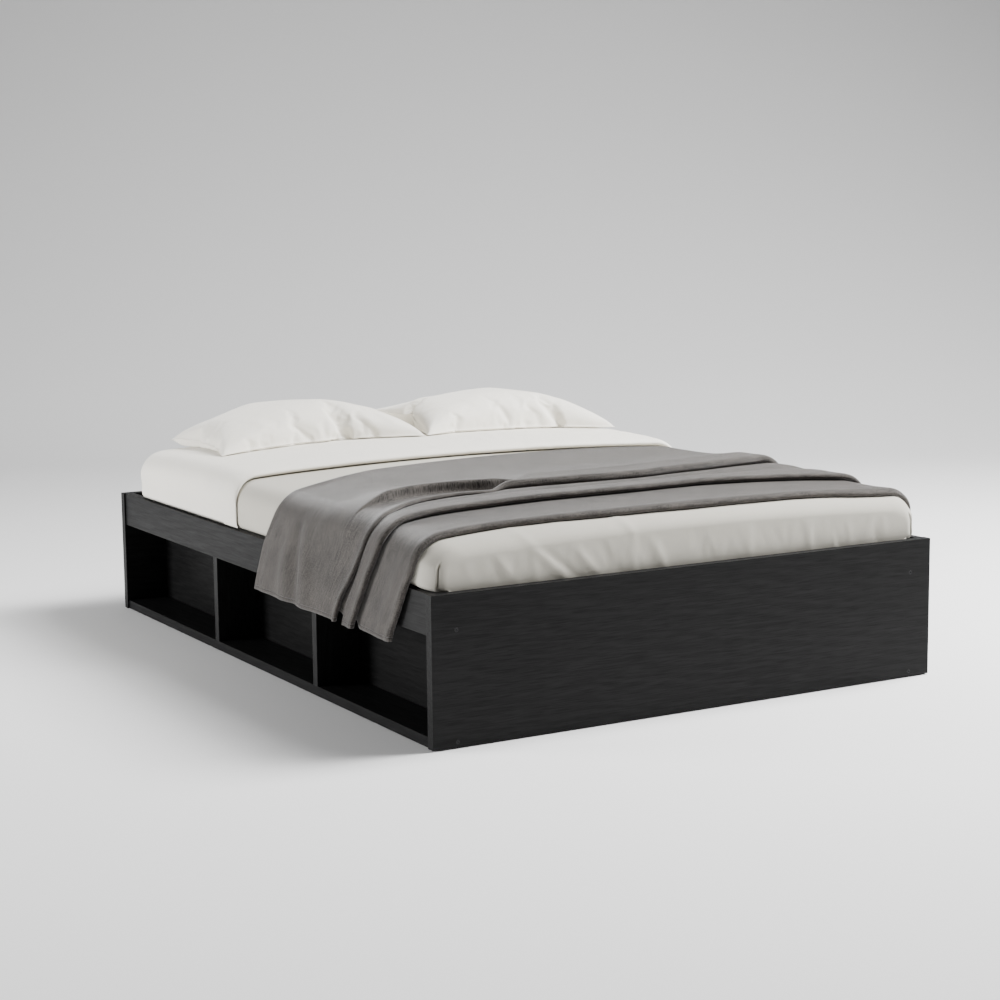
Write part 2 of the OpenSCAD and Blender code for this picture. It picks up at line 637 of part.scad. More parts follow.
// The cloth's rows from head to foot: [stretch between two of those lines, share of it, height].
cloth_rows = [[0, 0, 0], [0, 0.12, 0.5], [0, 0.4, 0.3], [0, 0.75, 0.6], [1, 0, 1],
              [1, 0.5, 0.8], [1, 0.9, 0.3], [2, 0.06, 0.25], [2, 0.25, 0.9], [2, 0.55, 1],
              [2, 0.85, 0.75], [2, 0.97, 0.25], [3, 0.04, 0.15], [3, 0.25, 0.5], [3, 0.6, 0.35],
              [3, 0.85, 0.6], [3, 0.96, 0.5], [3, 1, 0]];
function row_y(r, x, z) =
    let (lines = [head_hem, ridge, pleat_1, pleat_2, foot_hem],
         from = along(lines[r[0]], r[0] == 0 ? 2 : 6, x, z), to = along(lines[r[0] + 1], 6, x, z))
    from + (to - from) * r[1];
module throw() {
    function cloth(off) = [for (r = cloth_rows, p = throw_cols)
        let (y = row_y(r, p[0], p[1]),
             h = (fold_h + (pleat_h - fold_h) * hanging(p[1])) * r[2] + off)
        [p[0] + h * p[2], y, p[1] - fall(y) * rise(p[1]) + h * p[3]]];
    color([0.36, 0.35, 0.35])
        polyhedron(concat(cloth(throw_t), cloth(0)),
                   flip(shell_faces(len(cloth_rows), len(throw_cols))));
}

foot_panel();
head_panel();
left_side_rail();
right_side_rail();
left_bottom_board();
right_bottom_board();
left_top_board();
right_top_board();
left_back_panel();
right_back_panel();
left_head_divider();
left_foot_divider();
right_head_divider();
right_foot_divider();
centre_beam();
head_beam_bracket();
foot_beam_bracket();
for (i = [1:leg_count]) centre_leg(i);
leg_feet();
for (i = [1:slat_count]) slat(i);
connecting_bolts();
wood_dowels();
rail_cams();
rail_cam_bolts();
divider_screws();
back_panel_screws();
slat_screws();
bracket_screws();
leg_screws();
floor_glides();
mattress();
fitted_sheet();
quilt();
pillow_left();
pillow_right();
throw();
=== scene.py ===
"""Looks of a low platform bed with open side bays, dressed with sheet, quilt, pillows and throw."""

import math

import bmesh
import bpy
import numpy as np
from mathutils import Matrix, Vector


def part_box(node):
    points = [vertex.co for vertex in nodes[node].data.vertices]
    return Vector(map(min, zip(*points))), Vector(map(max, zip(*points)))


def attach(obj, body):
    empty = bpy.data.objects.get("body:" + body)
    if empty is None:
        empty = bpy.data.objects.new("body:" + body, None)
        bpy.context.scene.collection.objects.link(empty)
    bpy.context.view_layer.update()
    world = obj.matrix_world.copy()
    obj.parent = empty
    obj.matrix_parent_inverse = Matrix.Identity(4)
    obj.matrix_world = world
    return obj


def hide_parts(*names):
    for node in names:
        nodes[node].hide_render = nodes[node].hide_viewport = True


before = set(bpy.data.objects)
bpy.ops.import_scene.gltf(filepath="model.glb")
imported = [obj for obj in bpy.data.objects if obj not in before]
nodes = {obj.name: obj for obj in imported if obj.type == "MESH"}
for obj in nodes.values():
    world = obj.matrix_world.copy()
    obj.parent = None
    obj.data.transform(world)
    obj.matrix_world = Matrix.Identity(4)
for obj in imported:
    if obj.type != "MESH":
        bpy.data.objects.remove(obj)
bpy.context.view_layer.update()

# ---- camera ----

CAMERA_AT = Vector((-2.86755, -5.02152, 1.22882))
CAMERA_YAW, CAMERA_PITCH, CAMERA_ROLL = (math.radians(a) for a in (29.97564, -8.19901, -0.58365))
CAMERA_LENS = 74.91          # millimetres on a 36 mm sensor


def placed(name, data):
    """A new object in the scene, made of that data."""
    made = bpy.data.objects.new(name, data)
    bpy.context.scene.collection.objects.link(made)
    return made


def place_camera():
    """The camera at CAMERA_AT, turned from +Y by yaw, raised by pitch and tipped by roll."""
    ahead = Vector((math.sin(CAMERA_YAW) * math.cos(CAMERA_PITCH),
                    math.cos(CAMERA_YAW) * math.cos(CAMERA_PITCH), math.sin(CAMERA_PITCH)))
    level = Vector((math.cos(CAMERA_YAW), -math.sin(CAMERA_YAW), 0))
    up = level.cross(ahead)
    c, s = math.cos(CAMERA_ROLL), math.sin(CAMERA_ROLL)
    turned = Matrix((c * level + s * up, c * up - s * level, -ahead)).transposed()
    data = bpy.data.cameras.new("camera")
    data.lens = CAMERA_LENS
    data.sensor_width = 36
    data.clip_end = 100
    camera = placed("camera", data)
    camera.matrix_world = Matrix.Translation(CAMERA_AT) @ turned.to_4x4()
    bpy.context.scene.camera = camera


def place_lamp(name, at, aim, size, power):
    """A square soft lamp at one point, facing another."""
    data = bpy.data.lights.new(name, "AREA")
    data.shape = "SQUARE"
    data.size = size
    data.energy = power
    lamp = placed(name, data)
    lamp.visible_camera = False
    lamp.matrix_world = Matrix.Translation(at) @ (
        (Vector(aim) - Vector(at)).to_track_quat("-Z", "Y").to_matrix().to_4x4())


place_camera()
place_lamp("main_lamp", (3.0, -1.25, 4.6), (0, -0.2, 0.2), 3.0, 540)
place_lamp("side_lamp", (2.8, -1.25, 3.6), (0, -0.2, 0.2), 1.8, 340)
place_lamp("left_lamp", (-5.0, 1.8, 1.0), (0, 0, 0.45), 1.8, 335)
world = bpy.data.worlds.new("studio")
bpy.context.scene.world = world
world.use_nodes = True
background = world.node_tree.nodes["Background"]
background.inputs["Color"].default_value = (1, 1, 1, 1)
background.inputs["Strength"].default_value = 0.15

# ---- finishes ----


class Finish:
    """A procedural material: nodes are added with their inputs, the shader keeps plain values."""

    def __init__(self, name, **shader):
        self.material = bpy.data.materials.new(name)
        self.material.use_nodes = True
        self.tree = self.material.node_tree
        self.shader = self.tree.nodes["Principled BSDF"]
        for socket, value in shader.items():
            self.shader.inputs[socket.replace("_", " ")].default_value = value

    def add(self, kind, inputs=(), **settings):
        """A node of that kind. An input is named or numbered, and takes a value or an output."""
        made = self.tree.nodes.new("ShaderNode" + kind)
        for key, value in settings.items():
            setattr(made, key, value)
        for key, value in dict(inputs).items():
            if isinstance(value, bpy.types.NodeSocket):
                self.tree.links.new(value, made.inputs[key])
            else:
                made.inputs[key].default_value = value
        return made

    def math(self, operation, a, b=0.0):
        return self.add("Math", {0: a, 1: b}, operation=operation).outputs[0]

    def times(self, a, b):
        return self.math("MULTIPLY", a, b)

    def plus(self, a, b):
        return self.math("ADD", a, b)

    def coords(self, source, turn=(0, 0, 0), move=(0, 0, 0)):
        """Coordinates of the piece, "Object" or "UV", turned and moved."""
        place = self.add("TexCoord").outputs[source]
        return self.add("Mapping", {"Vector": place, "Rotation": turn,
                                    "Location": move}).outputs[0]

    def drawn(self, vector, scale):
        """Coordinates with one scale for each axis."""
        return self.add("Mapping", {"Vector": vector, "Scale": scale}).outputs[0]

    def noise(self, vector, scale, detail=2.0, roughness=0.5, distortion=0.0):
        """Noise of one scale, or of one for each axis."""
        if isinstance(scale, tuple):
            vector, scale = self.drawn(vector, scale), 1.0
        return self.add("TexNoise", {"Vector": vector, "Scale": scale, "Detail": detail,
                                     "Roughness": roughness, "Distortion": distortion}).outputs[0]

    def ramp(self, value, stops):
        """Colours or greys along a value, as (place, colour) pairs."""
        made = self.add("ValToRGB", {"Fac": value})
        ramp = made.color_ramp
        while len(ramp.elements) < len(stops):
            ramp.elements.new(1.0)
        for element, (place, colour) in zip(ramp.elements, stops):
            element.position = place
            element.color = (*colour, 1) if hasattr(colour, "__len__") else (colour,) * 3 + (1,)
        return made.outputs[0]

    def blend(self, share, a, b, mode="MIX"):
        """Colour a blended with colour b by a share."""
        a, b = (k if isinstance(k, bpy.types.NodeSocket) else (*k, 1) for k in (a, b))
        return self.add("Mix", {0: share, 6: a, 7: b}, data_type="RGBA",
                        blend_type=mode).outputs[2]

    def wire(self, socket, value):
        self.tree.links.new(value, self.shader.inputs[socket])

    def relief(self, height, distance, strength=1.0, under=None):
        """Bumps of that height in metres, on top of the bumps under them."""
        inputs = {"Height": height, "Distance": distance, "Strength": strength}
        if under is not None:
            inputs["Normal"] = under
        return self.add("Bump", inputs).outputs[0]


def shade(colour, share):
    return tuple(share * c for c in colour)


GRAIN_TURNS = {"x": (0, 0, math.pi / 2), "y": (0, 0, 0), "z": (math.pi / 2, 0, 0)}


def black_ash(name, along, dark, light, seed, shine):
    """Black-stained open-pored ash: faint growth rings drawn out along the grain, short fine
    streaks, pores and a thin satin lacquer. The grain runs along x, y or z."""
    f = Finish(name, Roughness=0.5, Specular_IOR_Level=shine, IOR=1.48)
    place = f.coords("Object", GRAIN_TURNS[along], (seed, 2 * seed, 3 * seed))
    bend = f.noise(place, (6, 1.6, 6))
    rings = f.add("TexWave", {
        "Vector": f.drawn(place, (1, 0.1, 1)), "Scale": 26.0, "Distortion": 9.0, "Detail": 3.0,
        "Detail Scale": 1.6, "Detail Roughness": 0.6},
        wave_type="BANDS", bands_direction="DIAGONAL").outputs[1]
    streaks = f.noise(place, (150, 7, 150), 5.0, 0.7, 0.3)
    pore = f.ramp(f.noise(place, (420, 14, 420)), [(0.36, 0.0), (0.5, 1.0)])
    ring = f.ramp(rings, [(0.1, 0.0), (0.9, 1.0)])
    tone = f.plus(f.times(ring, 0.16), f.times(streaks, 0.84))
    tone = f.plus(tone, f.times(f.math("SUBTRACT", bend, 0.5), 0.22))
    body = f.blend(f.ramp(tone, [(0.2, 0.0), (0.8, 1.0)]), dark, light)
    f.wire("Base Color", f.blend(f.times(f.math("SUBTRACT", 1.0, pore), 0.55), body,
                                 shade(dark, 0.35)))
    f.wire("Roughness", f.ramp(tone, [(0.0, 0.56), (1.0, 0.42)]))
    edge = f.add("Bevel", {"Radius": 0.0012}, samples=4).outputs[0]
    f.wire("Normal", f.relief(pore, 0.00012, 0.8, f.relief(tone, 0.0004, 0.6, edge)))
    return f.material


def plain_pine(name):
    """Planed pine along x: pale early wood, darker late-wood lines and a few knots."""
    f = Finish(name, Roughness=0.6)
    place = f.coords("Object", GRAIN_TURNS["x"])
    rings = f.add("TexWave", {
        "Vector": f.drawn(place, (1, 0.06, 1)), "Scale": 22.0, "Distortion": 5.0,
        "Detail": 2.0}, bands_direction="DIAGONAL").outputs[1]
    fibre = f.noise(place, (300, 6, 300), 3.0)
    knots = f.add("TexVoronoi", {"Vector": f.drawn(place, (9, 2.2, 9)), "Scale": 1.0}).outputs[0]
    wood = f.ramp(f.plus(f.times(rings, 0.7), f.times(fibre, 0.3)),
                  [(0.2, (0.62, 0.44, 0.26)), (0.75, (0.78, 0.61, 0.41))])
    f.wire("Base Color", f.blend(f.ramp(knots, [(0.05, 1.0), (0.12, 0.0)]), wood,
                                 (0.23, 0.12, 0.05)))
    f.wire("Normal", f.relief(fibre, 0.0001))
    return f.material


def metal(name, colour, roughness, metallic=1.0):
    """Plated or painted steel with faint turning marks and handling scratches."""
    f = Finish(name, Metallic=metallic)
    place = f.coords("Object")
    marks = f.noise(place, (900, 120, 900))
    blotch = f.noise(place, 60.0, 3.0)
    f.wire("Base Color", f.blend(f.times(blotch, 0.4), colour, shade(colour, 0.7)))
    f.wire("Roughness", f.ramp(marks, [(0.3, roughness - 0.07), (0.7, roughness + 0.1)]))
    f.wire("Normal", f.relief(marks, 0.00003))
    return f.material


def moulded(name, colour, roughness=0.6):
    """Moulded plastic with a fine spark-eroded texture."""
    f = Finish(name)
    place = f.coords("Object")
    grain = f.noise(place, 1500.0)
    f.wire("Base Color", f.blend(f.times(f.noise(place, 40.0), 0.3), colour, shade(colour, 0.7)))
    f.wire("Roughness", f.ramp(grain, [(0.2, roughness - 0.1), (0.8, roughness + 0.1)]))
    f.wire("Normal", f.relief(grain, 0.00006))
    return f.material


STITCH_REACH = 0.0016     # from a stitch row's middle to where its pinch in the cloth ends
STITCH_PITCH = 0.0036


def woven(name, light, dark, thread, slub=0.5, heather=0.2, sheen=0.25, nap=0.5, fleck=None,
          stitches=(), rib=1.0):
    """Plain-woven cloth on the piece's UV map, in metres: threads of that width across and along,
    uneven slubs along both, rib times as wide along the first axis, a mottle of lighter and
    darker yarn and a soft nap. stitches gives rows of machine stitches as (axis, place on it)."""
    f = Finish(name, Roughness=0.9, Sheen_Weight=sheen, Sheen_Roughness=nap,
               Specular_IOR_Level=0.2)
    place = f.coords("UV")
    warp = f.add("SeparateXYZ", {0: place}).outputs
    turns = [f.math("SINE", f.times(warp[k], math.pi / thread)) for k in (0, 1)]
    weave = f.times(turns[0], turns[1])
    yarns = [f.noise(place, scale, 3.0, 0.6)
             for scale in ((0.45 / thread, 60, 1), (22, 0.45 / (rib * thread), 1))]
    share = 0.5 / rib
    uneven = f.plus(f.times(yarns[0], share), f.times(yarns[1], 1 - share))
    speck = f.noise(place, 1 / (fleck or 1.7 * thread), 2.0, 0.75)
    cloud = f.noise(place, 9.0, 5.0, 0.7)
    tone = f.times(weave, 0.12)
    for part, weight in ((uneven, 2.2 * slub), (speck, 4 * heather), (cloud, 0.3 + 1.3 * heather)):
        tone = f.plus(tone, f.times(f.math("SUBTRACT", part, 0.5), weight))
    colour = f.blend(f.ramp(f.plus(tone, 0.5), [(0.0, 0.0), (1.0, 1.0)]), dark, light)
    height = f.plus(f.times(weave, 0.5), f.times(uneven, 1.6))
    height = f.plus(height, f.times(speck, 2.0 * heather))
    sewn = 0.0
    for axis, at in stitches:
        off = f.math("ABSOLUTE", f.math("SUBTRACT", warp[axis], at))
        row = f.ramp(f.times(off, 1 / STITCH_REACH), [(0.25, 1.0), (0.75, 0.0)])
        pitch = f.math("SINE", f.times(warp[1 - axis], 2 * math.pi / STITCH_PITCH))
        dash = f.ramp(f.plus(f.times(pitch, 0.5), 0.5), [(0.1, 0.35), (0.4, 1.0)])
        sewn = f.math("MAXIMUM", sewn, f.times(row, dash))
    if stitches:
        colour = f.blend(f.times(sewn, 0.45), colour, shade(dark, 0.4))
        height = f.math("SUBTRACT", height, f.times(sewn, 6.0))
    f.wire("Base Color", colour)
    f.wire("Normal", f.relief(height, 0.35 * thread, 0.7))
    return f.material


def studio_grey(name, colour):
    """Painted studio floor: even, matt, with the faintest unevenness. Up the backdrop the colour
    darkens with height: painted shade standing in for the light falling off towards its top."""
    f = Finish(name, Roughness=0.9, Specular_IOR_Level=0.2)
    place = f.coords("Object")
    even = f.blend(f.times(f.noise(place, 0.7), 0.1), colour, shade(colour, 0.94))
    height = f.math("DIVIDE", f.add("SeparateXYZ", {0: place}).outputs[2], 5.0)
    # painted shade: the colour darkens up the backdrop with height, the floor stays even
    f.wire("Base Color", f.blend(1.0, even, f.ramp(height, [(0.04, 1.0), (0.5, 0.62), (1.0, 0.5)]),
                                 "MULTIPLY"))
    return f.material


BOARD_DARK, BOARD_LIGHT = (0.0040, 0.0040, 0.0041), (0.0115, 0.0115, 0.0117)
ash_x = black_ash("black_ash_across", "x", BOARD_DARK, BOARD_LIGHT, 0.0, 0.13)
ash_y = black_ash("black_ash_along", "y", BOARD_DARK, BOARD_LIGHT, 1.7, 0.08)
ash_z = black_ash("black_ash_upright", "z", BOARD_DARK, BOARD_LIGHT, 3.1, 0.15)
# The side rails get a lighter copy of the same black ash: painted light for the light their outer
# faces catch.
rail_ash_painted_light = black_ash("black_ash_rail_painted_light", "y", (0.0085, 0.0085, 0.0086), (0.0175, 0.0175, 0.0177),
                     5.3, 0.10)
# The back boards get a darker copy of the same black ash: painted shade for the shade inside the
# bays.
back_ash_painted_shade = black_ash("black_back_board", "y", (0.0032, 0.0032, 0.0033), (0.0090, 0.0090, 0.0091),
                     7.9, 0.05)
pine = plain_pine("planed_pine")
black_steel = metal("black_steel", (0.02, 0.02, 0.021), 0.45, 0.3)
bolt_steel = metal("bolt_steel", (0.035, 0.035, 0.036), 0.45)
zinc = metal("cast_zinc", (0.55, 0.55, 0.57), 0.35)
screw_zinc = metal("zinc_plated", (0.62, 0.58, 0.48), 0.3)
foot_plastic = moulded("black_foot_plastic", (0.02, 0.02, 0.021))
felt = moulded("felt_glide", (0.06, 0.06, 0.06), 0.9)
ticking = woven("mattress_ticking", (0.82, 0.81, 0.78), (0.66, 0.65, 0.62), 0.0012)
sheet_cotton = woven("sheet_cotton", (0.555, 0.53, 0.465), (0.475, 0.455, 0.395), 0.0005,
                     slub=0.25, heather=0.1, sheen=0.15)
LINEN = ((0.94, 0.905, 0.82), (0.84, 0.81, 0.73), 0.0008, 0.5, 0.12)
quilt_linen, pillow_linen = (woven(name, *LINEN) for name in ("quilt_linen", "pillow_linen"))
throw_wool = woven("throw_wool", (0.108, 0.097, 0.088), (0.015, 0.0135, 0.0125), 0.0016,
                   slub=1.0, heather=0.6, sheen=0.38, nap=0.4, fleck=0.0032,
                   stitches=[(0, -0.945), (0, 0.915), (1, 0.012)], rib=1.5)

# The finish of each solid, by a part of its name; the first that fits counts.
NODE_FINISHES = (
    ("screws", screw_zinc), ("back_panel", back_ash_painted_shade), ("_panel", ash_x), ("side_rail", rail_ash_painted_light),
    ("_board", ash_y), ("_divider", ash_z), ("rail_cam", zinc), ("centre_beam", pine),
    ("beam_bracket", black_steel), ("centre_leg", black_steel), ("leg_feet", foot_plastic),
    ("connecting_bolts", bolt_steel), ("wood_dowels", pine), ("slat_", pine),
    ("floor_glides", felt),
)
for node_name, node in nodes.items():
    fitting = [finish for part, finish in NODE_FINISHES if part in node_name]
    if fitting:
        node.data.materials.clear()
        node.data.materials.append(fitting[0])

# ---- surfaces ----


def face_corners(rows, cols):
    """Where the four corners of the faces in that many rows and columns are in a grid of points."""
    r, c = np.meshgrid(np.arange(rows), np.arange(cols), indexing="ij")
    return [(r, c), (r, c + 1), (r + 1, c + 1), (r + 1, c)]


def surface(name, points, material, uv=None, wrap_rows=False, wrap_cols=False, flip=False,
            merge=False):
    """A piece from a grid of points [rows, columns, 3], joined round where it wraps. uv holds one
    more row or column where it wraps. Faces look to the side where columns run right as rows run
    away, unless flipped."""
    rows, cols = points.shape[:2]
    corners = face_corners(rows - (not wrap_rows), cols - (not wrap_cols))
    if flip:
        corners = corners[::-1]
    quads = np.stack([(i % rows) * cols + j % cols for i, j in corners], -1).reshape(-1)
    mesh = bpy.data.meshes.new(name)
    mesh.vertices.add(rows * cols)
    mesh.vertices.foreach_set("co", np.ascontiguousarray(points, np.float32).reshape(-1))
    mesh.loops.add(len(quads))
    mesh.loops.foreach_set("vertex_index", quads.astype(np.int32))
    mesh.polygons.add(len(quads) // 4)
    mesh.polygons.foreach_set("loop_start", np.arange(0, len(quads), 4, dtype=np.int32))
    mesh.update(calc_edges=True)
    if uv is not None:
        layer = mesh.uv_layers.new(name="cloth")
        spread = np.stack([uv[i, j] for i, j in corners], -2).reshape(-1)
        layer.data.foreach_set("uv", spread.astype(np.float32))
    mesh.polygons.foreach_set("use_smooth", np.ones(len(mesh.polygons), bool))
    if merge:
        soft = bmesh.new()
        soft.from_mesh(mesh)
        bmesh.ops.remove_doubles(soft, verts=soft.verts, dist=2e-6)
        bmesh.ops.dissolve_degenerate(soft, edges=soft.edges, dist=1e-7)
        soft.to_mesh(mesh)
        soft.free()
    mesh.materials.append(material)
    return placed(name, mesh)


def thicken(piece, thickness, offset):
    """Cloth of that thickness from a single surface."""
    solid = piece.modifiers.new("cloth_thickness", "SOLIDIFY")
    solid.thickness = thickness
    solid.offset = offset
    solid.use_quality_normals = True


def spline(control, rows):
    """A cubic B-spline with clamped ends: control points [..., K, channels] to that many rows,
    evenly spaced in the parameter, and so closer together where control points are."""
    ends = [control[..., :1, :]] * 2 + [control] + [control[..., -1:, :]] * 2
    points = np.concatenate(ends, axis=-2)
    t = np.linspace(0, points.shape[-2] - 3 - 1e-9, rows)
    first = np.floor(t).astype(int)
    f = (t - first)[:, None]
    shares = ((1 - f) ** 3 / 6, (3 * f ** 3 - 6 * f ** 2 + 4) / 6,
              (-3 * f ** 3 + 3 * f ** 2 + 3 * f + 1) / 6, f ** 3 / 6)
    return sum(share * points[..., first + k, :] for k, share in enumerate(shares))


def softened(points, reach):
    """A line with its corners rounded: each point is a Gaussian average over its neighbours."""
    steps = np.arange(-3 * reach, 3 * reach + 1)
    kernel = np.exp(-0.5 * (steps / reach) ** 2)
    kernel /= kernel.sum()
    held = np.concatenate([2 * points[:1] - points[3 * reach:0:-1], points,
                           2 * points[-1:] - points[-2:-3 * reach - 2:-1]])
    return np.stack([np.convolve(held[:, k], kernel, "valid") for k in range(points.shape[1])], -1)


def travelled(points):
    """The distance gone at each point of a line."""
    return np.concatenate([[0], np.cumsum(np.linalg.norm(np.diff(points, axis=0), axis=1))])


def outward(line):
    """Directions out of a line that runs from left to right."""
    slope = np.gradient(line, axis=0)
    slope /= np.linalg.norm(slope, axis=1)[:, None]
    return np.stack([-slope[:, 1], slope[:, 0]], -1)


def evenly(points, spacing):
    """A line through the points in equal short steps, with the distance along it."""
    gone = travelled(points)
    at = np.linspace(0, gone[-1], int(gone[-1] / spacing) + 1)
    return np.stack([np.interp(at, gone, points[:, k]) for k in range(points.shape[1])], -1), at


def smoothstep(x, low, high):
    """0 below low, 1 above high and an even rise between."""
    t = np.clip((x - low) / (high - low), 0, 1)
    return t * t * (3 - 2 * t)


def waves(x, y, seed, size):
    """Smooth seeded noise of two coordinates, about -1 to 1: sums of crossing sine waves of
    falling length and height."""
    draw = np.random.default_rng(seed)
    total = np.zeros(np.broadcast(x, y).shape)
    for k in range(3):
        for _ in range(5):
            angle, phase = draw.uniform(0, 2 * np.pi, 2)
            pitch = size / 2 ** k * draw.uniform(0.75, 1.3)
            total = total + 0.45 / 2 ** k * np.sin(
                2 * np.pi * (x * np.cos(angle) + y * np.sin(angle)) / pitch + phase)
    return total / 2


def creases(x, y, strokes):
    """Drawn-out soft creases: each stroke is [x, y, direction in degrees, half length, half
    width, height], a ridge that fades at its ends and sides."""
    total = np.zeros(np.broadcast(x, y).shape)
    for cx, cy, degrees, long, wide, height in strokes:
        c, s = math.cos(math.radians(degrees)), math.sin(math.radians(degrees))
        u, v = (x - cx) * c + (y - cy) * s, -(x - cx) * s + (y - cy) * c
        total = total + height * np.exp(-(u / long) ** 2 - (v / wide) ** 2)
    return total


def random_creases(seed, count, box, degrees, spread, long, wide, height):
    """Seeded strokes for creases(), within a box, about one direction."""
    draw = np.random.default_rng(seed)
    return [[draw.uniform(box[0], box[1]), draw.uniform(box[2], box[3]),
             degrees + draw.uniform(-spread, spread), long * draw.uniform(0.6, 1.4),
             wide * draw.uniform(0.7, 1.5), height * draw.uniform(-1, 1)] for _ in range(count)]


def drawn_creases(*rows):
    """Strokes for creases(), from rows in millimetres and degrees."""
    return np.array(rows) / [1000, 1000, 1, 1000, 1000, 1000]


# ---- the bed's dressed shape, in metres, as the solids have it ----

bed_low, bed_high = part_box("mattress")
MAT_OUT = bed_high.x              # the mattress where it swells over the rails
MAT_HALF = MAT_OUT - 0.0245
BED_Z = bed_low.z                 # its underside
FOOT_Y, HEAD_Y = bed_low.y, bed_high.y
EDGE_Z = BED_Z + 0.184            # the height of its top at the round edges
CROWN = 0.016                     # how much higher its top is in the middle
END_FALL = 0.024                  # how much lower at the ends
SHOULDER_R = 0.064
FLAT = MAT_OUT - SHOULDER_R       # half width of the top between the round edges
RAIL_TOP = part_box("left_side_rail")[1].z
RAIL_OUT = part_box("right_side_rail")[1].x
LIP_Z = RAIL_TOP + 0.005          # where the mattress starts to swell over the rails
ON_SHEET = 0.0026                 # from the mattress to what lies on its sheet
FOOT_ROUND = (0.046, 0.060, 0.036)    # the round foot end: across, along and in height
HEAD_ROUND = (0.096, 0.096, 0.040)
MIDDLE_Y, HALF_L = (FOOT_Y + HEAD_Y) / 2, (HEAD_Y - FOOT_Y) / 2
TUCK_TURN = 28                    # degrees round a corner at which the sheet is tucked
TUCK_TOP = EDGE_Z - 0.036         # height at which the tuck starts to open
TUCK_FADE = 0.012                 # and how far below it is fully open


def crown_z(x):
    return EDGE_Z + CROWN * (1 - np.minimum(1, np.abs(x) / FLAT) ** 2)


def fall(y):
    return END_FALL * np.abs((y - MIDDLE_Y) / HALF_L) ** 4


def rise(z):
    return np.clip((z - LIP_Z) / (EDGE_Z - LIP_Z), 0, 1)


def shoulder(r):
    """A round edge of that radius at the mattress's right side, upwards, in [x, z]."""
    a = np.radians(np.arange(0, 90, 4))
    return np.stack([FLAT + r * np.cos(a), EDGE_Z - SHOULDER_R + r * np.sin(a)], -1)


def right_side():
    """The mattress's section from its underside up the right side to the flat top, in [x, z]:
    narrower in the well between the rails, swelling over them, a round shoulder."""
    low = [[MAT_HALF - 0.008, BED_Z], [MAT_HALF, BED_Z + 0.012], [MAT_HALF, LIP_Z - 0.0005],
           [MAT_OUT - 0.006, LIP_Z + 0.0005], [MAT_OUT, LIP_Z + 0.012]]
    return np.concatenate([low, shoulder(SHOULDER_R)])


def section(points, spacing, reach):
    """The full section over the bed from a right side, left to right: even steps, corners
    softened, as x, z, the direction out of the surface and the distance from the middle."""
    x = np.linspace(-FLAT, FLAT, 61)
    top = np.stack([x, crown_z(x)], -1)
    line = np.concatenate([points * [-1, 1], top, points[::-1]])
    fine, at = evenly(softened(evenly(line, 0.002)[0], reach), spacing)
    return *fine.T, *outward(fine).T, at - at[-1] / 2


def round_end(y, size, way, a):
    """Places round the end of the bed at y, at those angles of the turn: y, inset across, drop of
    the top and the share of an offset that is taken along y."""
    return (y - way * size[1] * (1 - np.cos(a)), size[0] * (1 - np.sin(a)),
            size[2] * (1 - np.sin(a)), way * np.cos(a))


def stations(turns, spacing):
    """Places along the bed from foot to head, as round_end() gives them: rounded at both ends,
    through those degrees of a turn."""
    a = np.radians(turns)
    foot = round_end(FOOT_Y, FOOT_ROUND, -1, a)
    head = round_end(HEAD_Y, HEAD_ROUND, 1, a[::-1])
    y = np.arange(FOOT_Y + FOOT_ROUND[1] + spacing, HEAD_Y - HEAD_ROUND[1] - spacing / 2, spacing)
    middle = [y, 0 * y, 0 * y, 0 * y]
    y, inset, drop, along = (np.concatenate(k) for k in zip(foot, middle, head))
    return y[:, None], inset[:, None], (drop + fall(y))[:, None], along[:, None]


def on_bed(x, z, nx, nz, y, inset, drop, along, off):
    """Points off the mattress's surface: section points x, z moved out along nx, nz, drawn in and
    lowered at the bed's ends."""
    moved_in = np.minimum(np.abs(x) / MAT_HALF, 1) * inset
    return np.stack(np.broadcast_arrays(x + off * nx - np.sign(x) * moved_in, y + off * along,
                                        z - drop * rise(z) + off * nz), -1)


def turned_from_end(along):
    """Degrees round a corner of the bed, from its end, by the share of an offset along y."""
    return np.degrees(np.arccos(np.clip(np.abs(along), 0, 1)))


# ---- mattress ----

CORE_STEP = 0.014        # between points round the section
UNDERSIDE_STEPS = 58
TUCK_PRESS = 0.024       # how far the sheet's tuck goes in
END_DISH = 0.007         # how far the middle of an end is pressed in


